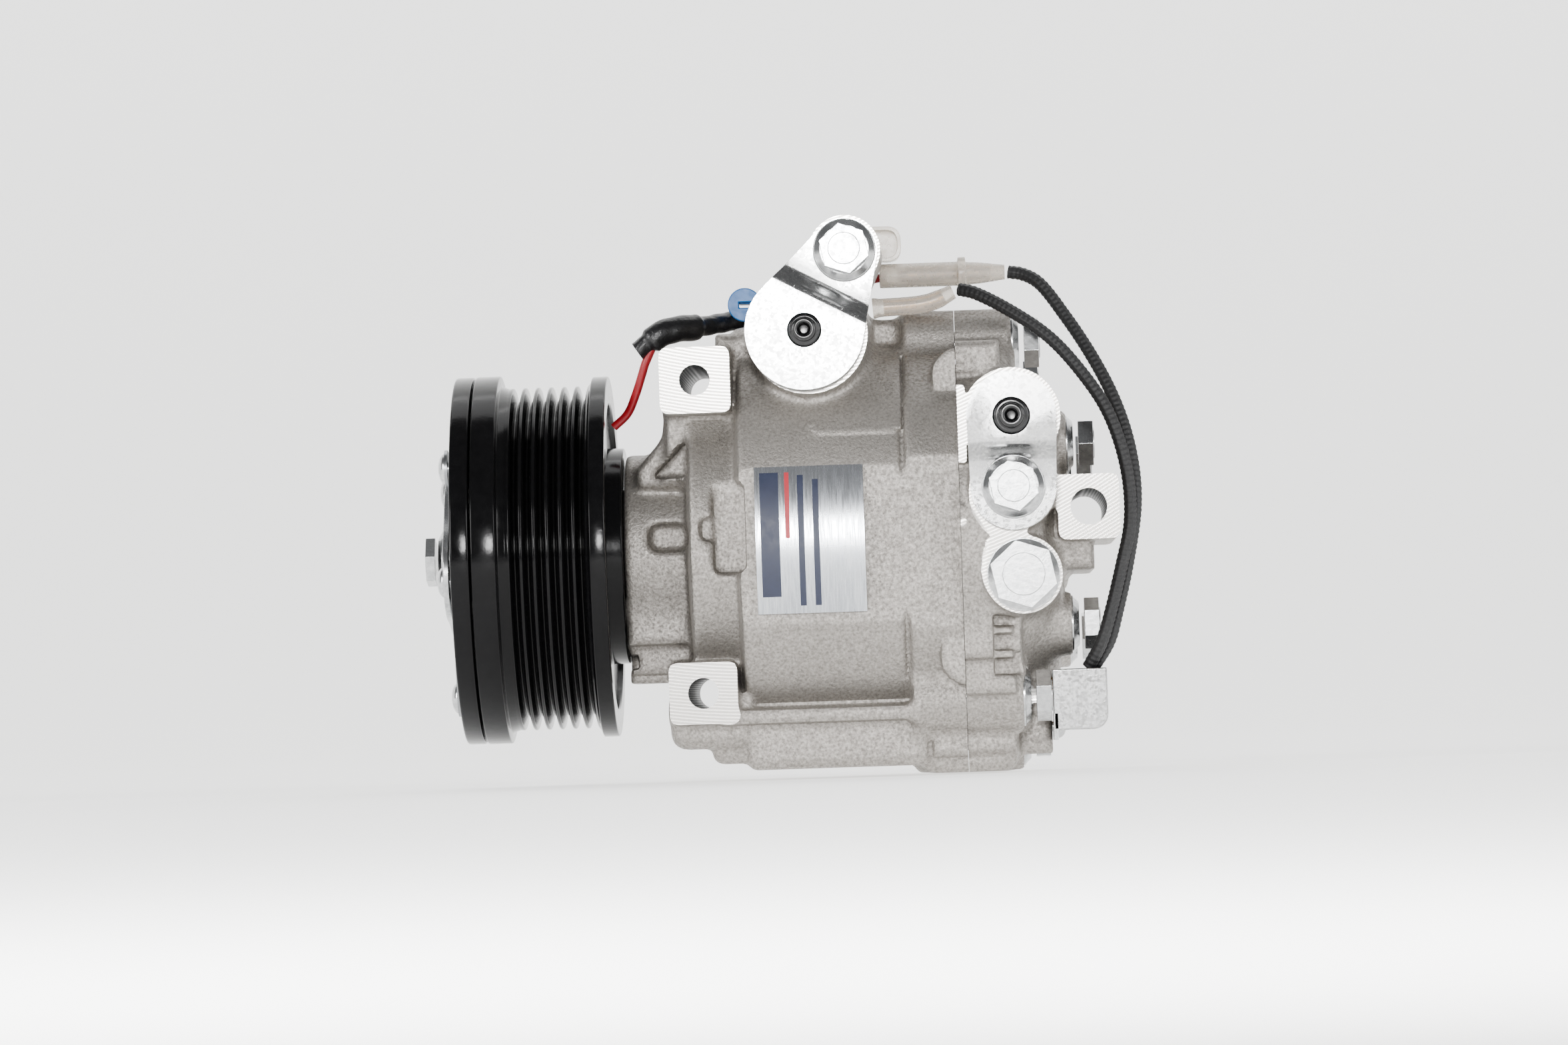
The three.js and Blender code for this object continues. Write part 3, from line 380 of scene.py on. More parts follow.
def rounded(points: Sequence[Pair], radius: float, steps: int = 4, closed: bool = True) -> list[Pair]:
    """Rounds a polygon's corners.

    Args:
        points: The polygon's corners.
        radius: The corner radius. A corner beside a short side gets a smaller one.
        steps: How many straight steps each round has.
        closed: Whether the last point joins the first. The ends of an open line stay as they are.

    Returns:
        The polygon with an arc in place of each corner.
    """
    count = len(points)
    made: list[Pair] = []
    for i, point in enumerate(points):
        if not closed and i in (0, count - 1):
            made.append(tuple(point))
            continue
        here = Vector(point)
        before = Vector(points[i - 1]) - here
        after = Vector(points[(i + 1) % count]) - here
        half = before.angle(after) / 2
        if math.pi / 2 - half < 0.02:
            made.append(tuple(point))
            continue
        reach = min(radius / max(math.tan(half), 1e-6), before.length * 0.48, after.length * 0.48)
        start = here + before.normalized() * reach
        end = here + after.normalized() * reach
        for k in range(steps + 1):
            t = k / steps
            p = start * (1 - t) ** 2 + here * (2 * t * (1 - t)) + end * t**2
            made.append((p.x, p.y))
    return made


# ---------------------------------------------------------------------- meshes


def mesh_object(
    name: str, points: np.ndarray, faces: Iterable[Sequence[int]], finishes: Sequence[Finish] = ()
) -> bpy.types.Object:
    """Makes an object in the frame's own axes.

    Args:
        name: The object's name.
        points: Points in millimetres.
        faces: Each face's point numbers.
        finishes: Materials, the first one used.

    Returns:
        The object.
    """
    mesh = bpy.data.meshes.new(name)
    mesh.from_pydata(np.asarray(points, float) * MM, [], faces)
    mesh.validate()
    for finish in finishes:
        mesh.materials.append(material_of(finish))
    made = bpy.data.objects.new(name, mesh)
    bpy.context.scene.collection.objects.link(made)
    return made


def edit(piece: bpy.types.Object, change: Callable[[bmesh.types.BMesh], None]) -> bpy.types.Object:
    """Changes a piece's mesh by a function of its bmesh.

    Args:
        piece: The piece.
        change: The function.

    Returns:
        The same piece.
    """
    bm = bmesh.new()
    bm.from_mesh(piece.data)
    change(bm)
    bm.to_mesh(piece.data)
    bm.free()
    piece.data.update()
    return piece


def outwards(piece: bpy.types.Object, merge: float = 1e-7) -> bpy.types.Object:
    """Merges a closed piece's doubled points and turns its faces outwards.

    Args:
        piece: The piece.
        merge: Points closer than this many metres are one.

    Returns:
        The same piece.
    """

    def change(bm: bmesh.types.BMesh) -> None:
        """Merges, then recalculates the normals."""
        bmesh.ops.remove_doubles(bm, verts=bm.verts, dist=merge)
        bmesh.ops.recalc_face_normals(bm, faces=bm.faces)

    return edit(piece, change)


def smooth(piece: bpy.types.Object, sharp_above: float = 32.0) -> bpy.types.Object:
    """Shades a piece smooth but for its sharp edges.

    Args:
        piece: The piece.
        sharp_above: Edges that turn more than this, in degrees, stay hard.

    Returns:
        The same piece.
    """
    limit = math.radians(sharp_above)

    def change(bm: bmesh.types.BMesh) -> None:
        """Marks the faces smooth and the sharp edges hard.

        Args:
            bm: The mesh.
        """
        for face in bm.faces:
            face.smooth = True
        for edge in bm.edges:
            edge.smooth = len(edge.link_faces) == 2 and edge.calc_face_angle() < limit

    return edit(piece, change)


def turned(
    name: str,
    profile: Sequence[Pair],
    sides: int = 96,
    centre: Pair = (0.0, 0.0),
    finishes: Sequence[Finish] = (),
) -> bpy.types.Object:
    """Makes a closed piece turned about a line parallel to X.

    Args:
        name: The piece's name.
        profile: (x, radius) pairs. A profile that starts and ends at radius 0 is closed by its own poles.
        sides: Number of sides.
        centre: The line's y and z.
        finishes: Materials, the first one used.

    Returns:
        The object.
    """
    angles = np.linspace(0, 2 * math.pi, sides, endpoint=False)
    x = np.repeat([p[0] for p in profile], sides)
    radius = np.repeat([p[1] for p in profile], sides)
    turn = np.tile(angles, len(profile))
    points = np.stack([x, centre[0] + radius * np.cos(turn), centre[1] + radius * np.sin(turn)], axis=1)
    rows = len(profile)
    last = rows - 1 if profile[0][1] == 0 and profile[-1][1] == 0 else rows
    faces = []
    for i in range(last):
        a, b = i * sides, (i + 1) % rows * sides
        for k in range(sides):
            n = (k + 1) % sides
            faces.append((a + k, a + n, b + n, b + k))
    return outwards(mesh_object(name, points, faces, finishes))


def rod(
    name: str,
    axis: str,
    centre: Pair,
    ends: Pair,
    radius: float,
    sides: int = 48,
    finishes: Sequence[Finish] = (),
) -> bpy.types.Object:
    """Makes a plain round bar along an axis, for cutting holes, its centre given on the other two axes."""
    return prism(name, axis, circle(centre[0], centre[1], radius, sides), ends, finishes)


def prism(
    name: str, axis: str, outline: Sequence[Pair], ends: Pair, finishes: Sequence[Finish] = ()
) -> bpy.types.Object:
    """Makes a closed prism.

    Args:
        name: The object's name.
        axis: X, Y or Z, along which it runs.
        outline: Its outline on the other two axes, in their order.
        ends: Where it starts and ends.
        finishes: Materials, the first one used.

    Returns:
        The object.
    """
    count = len(outline)
    flat = np.asarray(outline, float)
    layers = [np.insert(flat, "XYZ".index(axis), end, axis=1) for end in ends]
    sides = [(k, (k + 1) % count, count + (k + 1) % count, count + k) for k in range(count)]
    faces = [list(range(count)), list(range(count, 2 * count)), *sides]
    return outwards(mesh_object(name, np.concatenate(layers), faces, finishes))


def box(name: str, x: Pair, y: Pair, z: Pair, finishes: Sequence[Finish] = ()) -> bpy.types.Object:
    """Makes a plain block, for cutting flat faces."""
    return prism(name, "Z", rectangle(x[0], x[1], y[0], y[1]), z, finishes)


def settled(piece: bpy.types.Object) -> bpy.types.Object:
    """Applies a piece's modifiers to its own mesh.

    Args:
        piece: The piece.

    Returns:
        The same piece.
    """
    result = bpy.data.meshes.new_from_object(piece.evaluated_get(bpy.context.evaluated_depsgraph_get()))
    old = piece.data
    piece.modifiers.clear()
    piece.data = result
    bpy.data.meshes.remove(old)
    return piece


def lines_across(bm: bmesh.types.BMesh, start: Vector, way: Vector, places: Iterable[float]) -> None:
    """Cuts lines across a mesh, so that it can bend there.

    Args:
        bm: The mesh.
        start: Where the distances are counted from, in millimetres.
        way: The direction along which they are counted.
        places: The distances, in millimetres.
    """
    for place in places:
        everything = [*bm.verts, *bm.edges, *bm.faces]
        foot = (start + way * float(place)) * MM
        bmesh.ops.bisect_plane(bm, geom=everything, plane_co=foot, plane_no=way, dist=1e-7)


def joined(name: str, pieces: Sequence[bpy.types.Object]) -> bpy.types.Object:
    """Joins pieces into one object.

    Args:
        name: The new object's name.
        pieces: The pieces, which may lie in each other.

    Returns:
        One object with all their materials.
    """
    bm = bmesh.new()
    materials: list[bpy.types.Material] = []
    for piece in pieces:
        start = len(bm.faces)
        bm.from_mesh(piece.data)
        bm.faces.ensure_lookup_table()
        for face in bm.faces[start:]:
            own = piece.data.materials[face.material_index] if piece.data.materials else None
            if own not in materials:
                materials.append(own)
            face.material_index = materials.index(own)
    mesh = bpy.data.meshes.new(name)
    bm.to_mesh(mesh)
    bm.free()
    for material in materials:
        mesh.materials.append(material)
    made = bpy.data.objects.new(name, mesh)
    bpy.context.scene.collection.objects.link(made)
    discard(pieces)
    return made


def discard(pieces: Iterable[bpy.types.Object]) -> None:
    """Removes helper objects and their meshes.

    Args:
        pieces: The helpers.
    """
    for piece in list(pieces):
        mesh = piece.data
        bpy.data.objects.remove(piece)
        bpy.data.meshes.remove(mesh)


def machined(body: bpy.types.Object, tools: Sequence[bpy.types.Object]) -> bpy.types.Object:
    """Cuts tools out of a body.

    Args:
        body: The closed body.
        tools: Closed tools, whose materials the cut faces take.

    Returns:
        The same body.
    """
    for tool in tools:
        cut = body.modifiers.new("cut", "BOOLEAN")
        cut.operation = "DIFFERENCE"
        cut.solver = "MANIFOLD"
        cut.material_mode = "TRANSFER"
        cut.object = tool
    bpy.context.view_layer.update()
    before = len(body.data.polygons)
    settled(body)
    LOG.info("%s: %d faces before the cuts and %d after", body.name, before, len(body.data.polygons))
    discard(tools)
    return body


# ---------------------------------------------------------------------- cast bodies


def polygon_distance(x: np.ndarray, z: np.ndarray, outline: Sequence[Pair]) -> np.ndarray:
    """Signed distance to a polygon, negative inside.

    Args:
        x: First coordinates.
        z: Second coordinates, of a shape that broadcasts with x.
        outline: The polygon's corners, in order.

    Returns:
        The distances.
    """
    nearest = np.full(np.broadcast(x, z).shape, 1e9, np.float32)
    inside = np.zeros(nearest.shape, bool)
    for (ax, az), (bx, bz) in zip(outline, [*outline[1:], outline[0]]):
        ex, ez = bx - ax, bz - az
        wx, wz = x - ax, z - az
        along = np.clip((wx * ex + wz * ez) / (ex * ex + ez * ez + 1e-12), 0, 1)
        nearest = np.minimum(nearest, (wx - ex * along) ** 2 + (wz - ez * along) ** 2)
        above = z >= az
        below = z < bz
        left = ex * wz > ez * wx
        inside ^= (above & below & left) | (~above & ~below & ~left)
    return np.where(inside, -1, 1) * np.sqrt(nearest)


@dataclass(frozen=True)
class Form:
    """A solid described by a distance function, with the box that it lies in."""

    low: Triple
    high: Triple
    distance: Callable[[np.ndarray, np.ndarray, np.ndarray], np.ndarray]


def rounded_rims(across: np.ndarray, place: np.ndarray, ends: Pair, edge: float) -> np.ndarray:
    """Distance to a bar or prism whose two rims are rounded.

    Args:
        across: Signed distance to its outline.
        place: Coordinate along it.
        ends: Where it starts and ends.
        edge: Radius of the rims.

    Returns:
        The distances.
    """
    off = across + edge
    along = np.abs(place - sum(ends) / 2) - (ends[1] - ends[0]) / 2 + edge
    return np.minimum(np.maximum(off, along), 0) + np.hypot(np.maximum(off, 0), np.maximum(along, 0)) - edge


def slab(axis: str, outline: Sequence[Pair], ends: Pair, edge: float = 1.0) -> Form:
    """Describes a prism with rounded rims.

    Args:
        axis: X, Y or Z, along which it runs.
        outline: Its outline on the other two axes.
        ends: Where it starts and ends.
        edge: Radius of its rims.

    Returns:
        The form.
    """
    at = "XYZ".index(axis)
    flat = np.asarray(outline, float)
    low = tuple(np.insert(flat.min(0), at, ends[0]))
    high = tuple(np.insert(flat.max(0), at, ends[1]))

    def distance(*coordinates: np.ndarray) -> np.ndarray:
        """Distance to the prism."""
        across = [c for i, c in enumerate(coordinates) if i != at]
        return rounded_rims(polygon_distance(*across, outline), coordinates[at], ends, edge)

    return Form(low, high, distance)


def bar(axis: str, centre: Pair, ends: Pair, radius: float, edge: float = 1.0) -> Form:
    """Describes a round bar with rounded rims.

    Args:
        axis: X, Y or Z, along which it runs.
        centre: Its place on the other two axes.
        ends: Where it starts and ends.
        radius: Its radius.
        edge: Radius of its rims.

    Returns:
        The form.
    """
    at = "XYZ".index(axis)
    low = tuple(np.insert(np.array(centre) - radius, at, ends[0]))
    high = tuple(np.insert(np.array(centre) + radius, at, ends[1]))

    def distance(*coordinates: np.ndarray) -> np.ndarray:
        """Distance to the bar."""
        off = [c - m for c, m in zip((c for i, c in enumerate(coordinates) if i != at), centre)]
        return rounded_rims(np.hypot(*off) - radius, coordinates[at], ends, edge)

    return Form(low, high, distance)


def turning(profile: Sequence[Pair]) -> Form:
    """Describes a solid turned about the shaft axis.

    Args:
        profile: Pairs of x and radius that start and end on the axis.

    Returns:
        The form.
    """
    reach = max(p[1] for p in profile)
    first, last = min(p[0] for p in profile), max(p[0] for p in profile)
    whole = [*profile, *[(x, -r) for x, r in reversed(profile) if r > 0]]
    step = 0.2

    def distance(x: np.ndarray, y: np.ndarray, z: np.ndarray) -> np.ndarray:
        """Looks the distance up in a table of x and radius.

        Args:
            x, y, z: Coordinates that broadcast together.

        Returns:
            The distances.
        """
        off = np.hypot(y, z)
        radii = np.arange(0, float(off.max()) + 2 * step, step, dtype=np.float32)
        table = polygon_distance(x[:, :, 0], radii[None, :], whole)
        place = off[0] / step
        left = place.astype(int)
        share = (place - left).astype(np.float32)
        return table[:, left] * (1 - share) + table[:, left + 1] * share

    return Form((first, -reach, -reach), (last, reach, reach), distance)


@dataclass(frozen=True)
class Feature:
    """Something that a casting gains, or loses to a core, and the radius where it meets the rest."""

    name: str
    form: Form
    radius: float
    cored: bool = False


class Clay:
    """A grid of distances that forms are added to and cut from, with a fillet wherever two of them meet."""

    # Distances are kept up to this many millimetres, and a form is worked out this far beyond its box.
    FAR = 6.0
    MARGIN = 4.0

    def __init__(self, low: Triple, high: Triple, pitch: float) -> None:
        """Makes an empty grid over a box.

        Args:
            low: The box's low corner.
            high: Its high corner.
            pitch: How far apart the points are.
        """
        self.low = np.array(low, float)
        self.pitch = pitch
        counts = np.ceil((np.array(high) - self.low) / pitch).astype(int) + 1
        self.axes = [(start + pitch * np.arange(n)).astype(np.float32) for start, n in zip(self.low, counts)]
        self.field = np.full(counts, self.FAR, np.float32)

    def _window(self, form: Form, margin: float) -> tuple[tuple[slice, ...], list[np.ndarray]]:
        """Finds the part of the grid near a form.

        Args:
            form: The form.
            margin: How far beyond its box to go.

        Returns:
            The slices of that part and its coordinates.
        """
        slices = []
        for axis, low, high in zip(self.axes, form.low, form.high):
            first, last = np.searchsorted(axis, [low - margin, high + margin])
            slices.append(slice(int(first), int(last)))
        shapes = [(-1, 1, 1), (1, -1, 1), (1, 1, -1)]
        return tuple(slices), [axis[s].reshape(shape) for axis, s, shape in zip(self.axes, slices, shapes)]

    def add(self, form: Form, fillet: float) -> None:
        """Adds a form.

        Args:
            form: The form.
            fillet: Radius along the line where it meets what is there.
        """
        part, coordinates = self._window(form, fillet + self.MARGIN)
        old = self.field[part]
        new = form.distance(*coordinates).astype(np.float32)
        hollow = np.hypot(np.maximum(fillet - old, 0), np.maximum(fillet - new, 0))
        self.field[part] = np.maximum(fillet, np.minimum(old, new)) - hollow

    def cut(self, form: Form, edge: float) -> None:
        """Cuts a form away.

        Args:
            form: The form.
            edge: Radius of its mouth.
        """
        part, coordinates = self._window(form, edge + self.MARGIN)
        old = self.field[part]
        new = -form.distance(*coordinates).astype(np.float32)
        proud = np.hypot(np.maximum(edge + old, 0), np.maximum(edge + new, 0))
        self.field[part] = np.minimum(-edge, np.maximum(old, new)) + proud

    def shape(self, features: Iterable[Feature]) -> None:
        """Adds or cuts some features in their order.

        Args:
            features: What the casting gains and loses.
        """
        for feature in features:
            change = self.cut if feature.cored else self.add
            change(feature.form, feature.radius)
            LOG.debug("shaped the %s", feature.name)

    def raise_panel(self, outer: Form, outline: Form) -> None:
        """Raises the surface a little inside an outline, as where two die halves don't quite agree.

        Args:
            outer: The form that the surface is raised to.
            outline: Where it is raised.
        """
        part, coordinates = self._window(outline, 2.0)
        panel = np.maximum(outer.distance(*coordinates), outline.distance(*coordinates)).astype(np.float32)
        self.field[part] = np.minimum(self.field[part], panel)

    def mesh(self, name: str, finish: Finish) -> bpy.types.Object:
        """Makes the surface's mesh.

        Args:
            name: The object's name.
            finish: Its finish.

        Returns:
            A closed mesh of quads.
        """
        grid = openvdb.FloatGrid(self.FAR)
        grid.copyFromArray(self.field)
        grid.transform = openvdb.createLinearTransform(voxelSize=self.pitch)
        points, quads = grid.convertToQuads(0.0)
        return outwards(mesh_object(name, points + self.low, quads, [finish]))


# ---------------------------------------------------------------------- swept pieces


Section = Callable[[np.ndarray, np.ndarray], np.ndarray]
STEPS_PER_SPAN = 40


def smooth_path(points: Sequence[Triple], spacing: float = 0.5) -> np.ndarray:
    """Lays a centripetal Catmull-Rom curve through some points.

    Args:
        points: The points.
        spacing: How far apart the curve's points are.

    Returns:
        The curve's points.
    """
    given = np.asarray(points, float)
    ends = [2 * given[0] - given[1], *given, 2 * given[-1] - given[-2]]
    dense = []
    for a, b, c, d in zip(ends, ends[1:], ends[2:], ends[3:]):
        t0, t1 = 0.0, np.linalg.norm(b - a) ** 0.5
        t2 = t1 + np.linalg.norm(c - b) ** 0.5
        t3 = t2 + np.linalg.norm(d - c) ** 0.5
        for t in np.linspace(t1, t2, STEPS_PER_SPAN, endpoint=False):
            ab = a + (b - a) * (t - t0) / (t1 - t0)
            bc = b + (c - b) * (t - t1) / (t2 - t1)
            cd = c + (d - c) * (t - t2) / (t3 - t2)
            abc = ab + (bc - ab) * (t - t0) / (t2 - t0)
            bcd = bc + (cd - bc) * (t - t1) / (t3 - t1)
            dense.append(abc + (bcd - abc) * (t - t1) / (t2 - t1))
    dense = np.array([*dense, given[-1]])
    run = np.concatenate([[0], np.cumsum(np.linalg.norm(np.diff(dense, axis=0), axis=1))])
    even = np.linspace(0, run[-1], max(2, round(run[-1] / spacing) + 1))
    return np.stack([np.interp(even, run, dense[:, k]) for k in range(3)], axis=1)


def length_of(path: np.ndarray) -> float:
    """Returns a path's length."""
    return float(np.linalg.norm(np.diff(path, axis=0), axis=1).sum())


def swept(
    name: str,
    path: np.ndarray,
    radius: Section,
    sides: int = 24,
    finishes: Sequence[Finish] = (),
) -> bpy.types.Object:
    """Sweeps a round section along a path.

    Args:
        name: The piece's name.
        path: Points along it, close together.
        radius: The radius, from the distance along the path and the angle round it.
        sides: Number of sides.
        finishes: Materials, the first one used.

    Returns:
        A closed tube with flat ends.
    """
    run = np.concatenate([[0], np.cumsum(np.linalg.norm(np.diff(path, axis=0), axis=1))])
    tangents = np.gradient(path, axis=0)
    tangents /= np.linalg.norm(tangents, axis=1)[:, None]
    side = np.cross(tangents[0], (0.0, 0.0, 1.0))
    side /= np.linalg.norm(side)
    angles = np.linspace(0, 2 * math.pi, sides, endpoint=False)
    rings = []
    for along, point, tangent in zip(run, path, tangents):
        side = side - tangent * float(side @ tangent)
        side /= np.linalg.norm(side)
        up = np.cross(tangent, side)
        r = np.broadcast_to(radius(np.full(sides, along), angles), sides)
        rings.append(point + (np.cos(angles) * r)[:, None] * side + (np.sin(angles) * r)[:, None] * up)
    count = len(rings)
    points = np.concatenate([*rings, [path[0]], [path[-1]]])
    faces = []
    for i in range(count - 1):
        for k in range(sides):
            n = (k + 1) % sides
            faces.append((i * sides + k, i * sides + n, (i + 1) * sides + n, (i + 1) * sides + k))
    start, end = count * sides, count * sides + 1
    for k in range(sides):
        n = (k + 1) % sides
        faces.append((start, n, k))
        faces.append((end, (count - 1) * sides + k, (count - 1) * sides + n))
    return smooth(outwards(mesh_object(name, points, faces, finishes)), 60)


# ---------------------------------------------------------------------- grown pieces


class Facing(Enum):
    """Which way a fastener's head points, as the turn that takes +Z there."""

    REARWARDS = (0.0, math.pi / 2, 0.0)
    FORWARDS = (0.0, -math.pi / 2, 0.0)
    TO_THE_SIDE = (math.pi / 2, 0.0, 0.0)


class Solid(Enum):
    """The node that makes one part of a fastener."""

    CYLINDER = "GeometryNodeMeshCylinder"
    CONE = "GeometryNodeMeshCone"


Share = tuple[str, float]


class Growth:
    """A geometry tree that stands a fastener on every point, its parts sized by the tree's inputs."""

    def __init__(self, name: str, sizes: Sequence[str]) -> None:
        """Starts the tree.

        Args:
            name: The tree's name.
            sizes: Names of its number inputs, in metres.
        """
        self.tree = bpy.data.node_groups.new(name, "GeometryNodeTree")
        face = self.tree.interface
        face.new_socket(name="Geometry", in_out="INPUT", socket_type="NodeSocketGeometry")
        face.new_socket(name="Geometry", in_out="OUTPUT", socket_type="NodeSocketGeometry")
        face.new_socket(name="Facing", in_out="INPUT", socket_type="NodeSocketVector")
        face.new_socket(name="Seed", in_out="INPUT", socket_type="NodeSocketInt")
        for size in sizes:
            face.new_socket(name=size, in_out="INPUT", socket_type="NodeSocketFloat")
        self.given = add_node(self.tree, "NodeGroupInput").outputs

    def _sized(self, share: Share) -> bpy.types.NodeSocket:
        """Returns a share of one of the tree's inputs."""
        inputs = {0: self.given[share[0]], 1: share[1]}
        return add_node(self.tree, "ShaderNodeMath", {"operation": "MULTIPLY"}, inputs).outputs[0]

    def part(self, solid: Solid, sides: int, sizes: dict[str, Share]) -> bpy.types.NodeSocket:
        """Adds a part that stands about the point along Z.

        Args:
            solid: Its kind.
            sides: Number of sides.
            sizes: Its sizes by the node's input names.

        Returns:
            The part.
        """
        sized = {key: self._sized(share) for key, share in sizes.items()}
        return add_node(self.tree, solid.value, inputs={"Vertices": sides, **sized}).outputs[0]

    def raised(self, part: bpy.types.NodeSocket, height: Share) -> bpy.types.NodeSocket:
        """Moves a part along Z.

        Args:
            part: The part.
            height: How far.

        Returns:
            The part there.
        """
        move = add_node(self.tree, "ShaderNodeCombineXYZ", inputs={"Z": self._sized(height)}).outputs[0]
        inputs = {"Geometry": part, "Translation": move}
        return add_node(self.tree, "GeometryNodeTransform", inputs=inputs).outputs[0]

    def cut(self, operation: str, inputs: dict) -> bpy.types.NodeSocket:
        """Returns what an exact boolean makes of some parts."""
        settings = {"operation": operation, "solver": "EXACT"}
        return add_node(self.tree, "GeometryNodeMeshBoolean", settings, inputs).outputs[0]

    def finished(self, parts: list[bpy.types.NodeSocket], finish: Finish) -> bpy.types.NodeTree:
        """Ends the tree: the parts' union stands on every point, turned its own way, as real mesh.

        Args:
            parts: The fastener's closed parts.
            finish: What it is made of.

        Returns:
            The tree.
        """
        inputs = {
            "Points": self.given["Geometry"],
            "Instance": self.cut("UNION", {"Mesh 2": parts}),
            "Rotation": self.given["Facing"],
        }
        stood = add_node(self.tree, "GeometryNodeInstanceOnPoints", inputs=inputs)
        limits = {2: 0.0, 3: math.pi, "Seed": self.given["Seed"]}
        twist = add_node(self.tree, "FunctionNodeRandomValue", {"data_type": "FLOAT"}, limits)
        spin = add_node(self.tree, "ShaderNodeCombineXYZ", inputs={"Z": twist.outputs[1]})
        inputs = {"Instances": stood.outputs[0], "Rotation": spin.outputs[0]}
        twisted = add_node(self.tree, "GeometryNodeRotateInstances", inputs=inputs)
        real = add_node(self.tree, "GeometryNodeRealizeInstances", inputs={"Geometry": twisted.outputs[0]})
        inputs = {"Geometry": real.outputs[0], "Material": material_of(finish)}
        dressed = add_node(self.tree, "GeometryNodeSetMaterial", inputs=inputs)
        add_node(self.tree, "NodeGroupOutput", inputs={"Geometry": dressed.outputs[0]})
        return self.tree


@cache
def flange_bolt_tree(finish: Finish) -> bpy.types.NodeTree:
    """Makes the tree of a hexagon flange bolt: chamfered head, round washer face, flange and shank.

    Args:
        finish: What the bolt is made of.

    Returns:
        The tree.
    """
    flats, flange, height, length = "Across Flats", "Flange Radius", "Height", "Length"
    bolt = Growth("flange_bolt", [flats, flange, height, "Shank Radius", length])
    hexagon = bolt.part(Solid.CYLINDER, 6, {"Radius": (flats, 1 / math.sqrt(3)), "Depth": (height, 1.0)})
    # The chamfer takes the head's six top corners down to a circle inside the flats.
    taper = {"Radius Top": (flats, 0.385), "Radius Bottom": (flats, 1.16), "Depth": (height, 1.0)}
    head = bolt.cut("INTERSECT", {"Mesh 2": [hexagon, bolt.part(Solid.CONE, 48, taper)]})
    face = bolt.part(Solid.CYLINDER, 48, {"Radius": (flats, 0.35), "Depth": (height, 0.08)})
    slope = {"Radius Top": (flange, 0.78), "Radius Bottom": (flange, 0.98), "Depth": (height, 0.2)}
    skirt = bolt.part(Solid.CONE, 48, slope)
    washer = bolt.part(Solid.CYLINDER, 48, {"Radius": (flange, 1.0), "Depth": (height, 0.13)})
    shank = bolt.part(Solid.CYLINDER, 24, {"Radius": ("Shank Radius", 1.0), "Depth": (length, 1.0)})
    parts = [
        bolt.raised(head, (height, 0.5)),
        bolt.raised(face, (height, 1.0)),
        bolt.raised(skirt, (height, 0.12)),
        bolt.raised(washer, (height, 0.066)),
        bolt.raised(shank, (length, -0.49)),
    ]
    return bolt.finished(parts, finish)


@cache
def rivet_tree(finish: Finish) -> bpy.types.NodeTree:
    """Makes the tree of a round-headed rivet, its shank going down from the head.

    Args:
        finish: What the rivet is made of.

    Returns:
        The tree.
    """
    radius, height, length = "Head Radius", "Height", "Length"
    rivet = Growth("rivet", [radius, height, "Shank Radius", length])
    sizes = {"Segments": 32, "Rings": 16, "Radius": rivet.given[radius]}
    ball = add_node(rivet.tree, "GeometryNodeMeshUVSphere", inputs=sizes)
    sizes = {0: rivet.given[height], 1: rivet.given[radius]}
    squash = add_node(rivet.tree, "ShaderNodeMath", {"operation": "DIVIDE"}, sizes)
    scale = add_node(rivet.tree, "ShaderNodeCombineXYZ", inputs={"X": 1.0, "Y": 1.0, "Z": squash.outputs[0]})
    inputs = {"Geometry": ball.outputs[0], "Scale": scale.outputs[0]}
    dome = add_node(rivet.tree, "GeometryNodeTransform", inputs=inputs)
    under = rivet.part(Solid.CYLINDER, 32, {"Radius": (radius, 1.2), "Depth": (radius, 1.0)})
    head = rivet.cut("DIFFERENCE", {"Mesh 1": dome.outputs[0], "Mesh 2": rivet.raised(under, (radius, -0.5))})
    shank = rivet.part(Solid.CYLINDER, 24, {"Radius": ("Shank Radius", 1.0), "Depth": (length, 1.0)})
    return rivet.finished([head, rivet.raised(shank, (length, -0.5))], finish)


def grown(
    name: str,
    places: Sequence[Triple],
    tree: bpy.types.NodeTree,
    facing: Facing,
    sizes: dict[str, float],
    seed: int,
) -> bpy.types.Object:
    """Grows a geometry tree's pieces on points.

    Args:
        name: The piece's name.
        places: Where each one stands, in millimetres.
        tree: The geometry tree.
        facing: Which way the heads point.
        sizes: The tree's sizes by name, in millimetres.
        seed: Seed of the heads' own turns.

    Returns:
        One plain mesh with all of them.
    """
    piece = mesh_object(name, np.array(places), [])
    growth = piece.modifiers.new("growth", "NODES")
    growth.node_group = tree
    values = {key: size * MM for key, size in sizes.items()} | {"Facing": facing.value, "Seed": seed}
    for item in tree.interface.items_tree:
        if item.in_out == "INPUT" and item.name in values:
            growth[item.identifier] = values[item.name]
    return settled(piece)


def bevelled(
    piece: bpy.types.Object, width: float, segments: int = 2, angle: float = 35.0
) -> bpy.types.Object:
    """Rounds a piece's sharp edges and keeps its flat faces flat.

    Args:
        piece: The piece.
        width: The round's width in millimetres.
        segments: Steps in it.
        angle: Edges that turn more than this, in degrees, are rounded.

    Returns:
        The same piece.
    """
    smooth(piece, angle)
    bevel = piece.modifiers.new("rounds", "BEVEL")
    bevel.width = width * MM
    bevel.segments = segments
    bevel.limit_method = "ANGLE"
    bevel.angle_limit = math.radians(angle)
    bevel.use_clamp_overlap = True
    bevel.harden_normals = True
    return settled(piece)


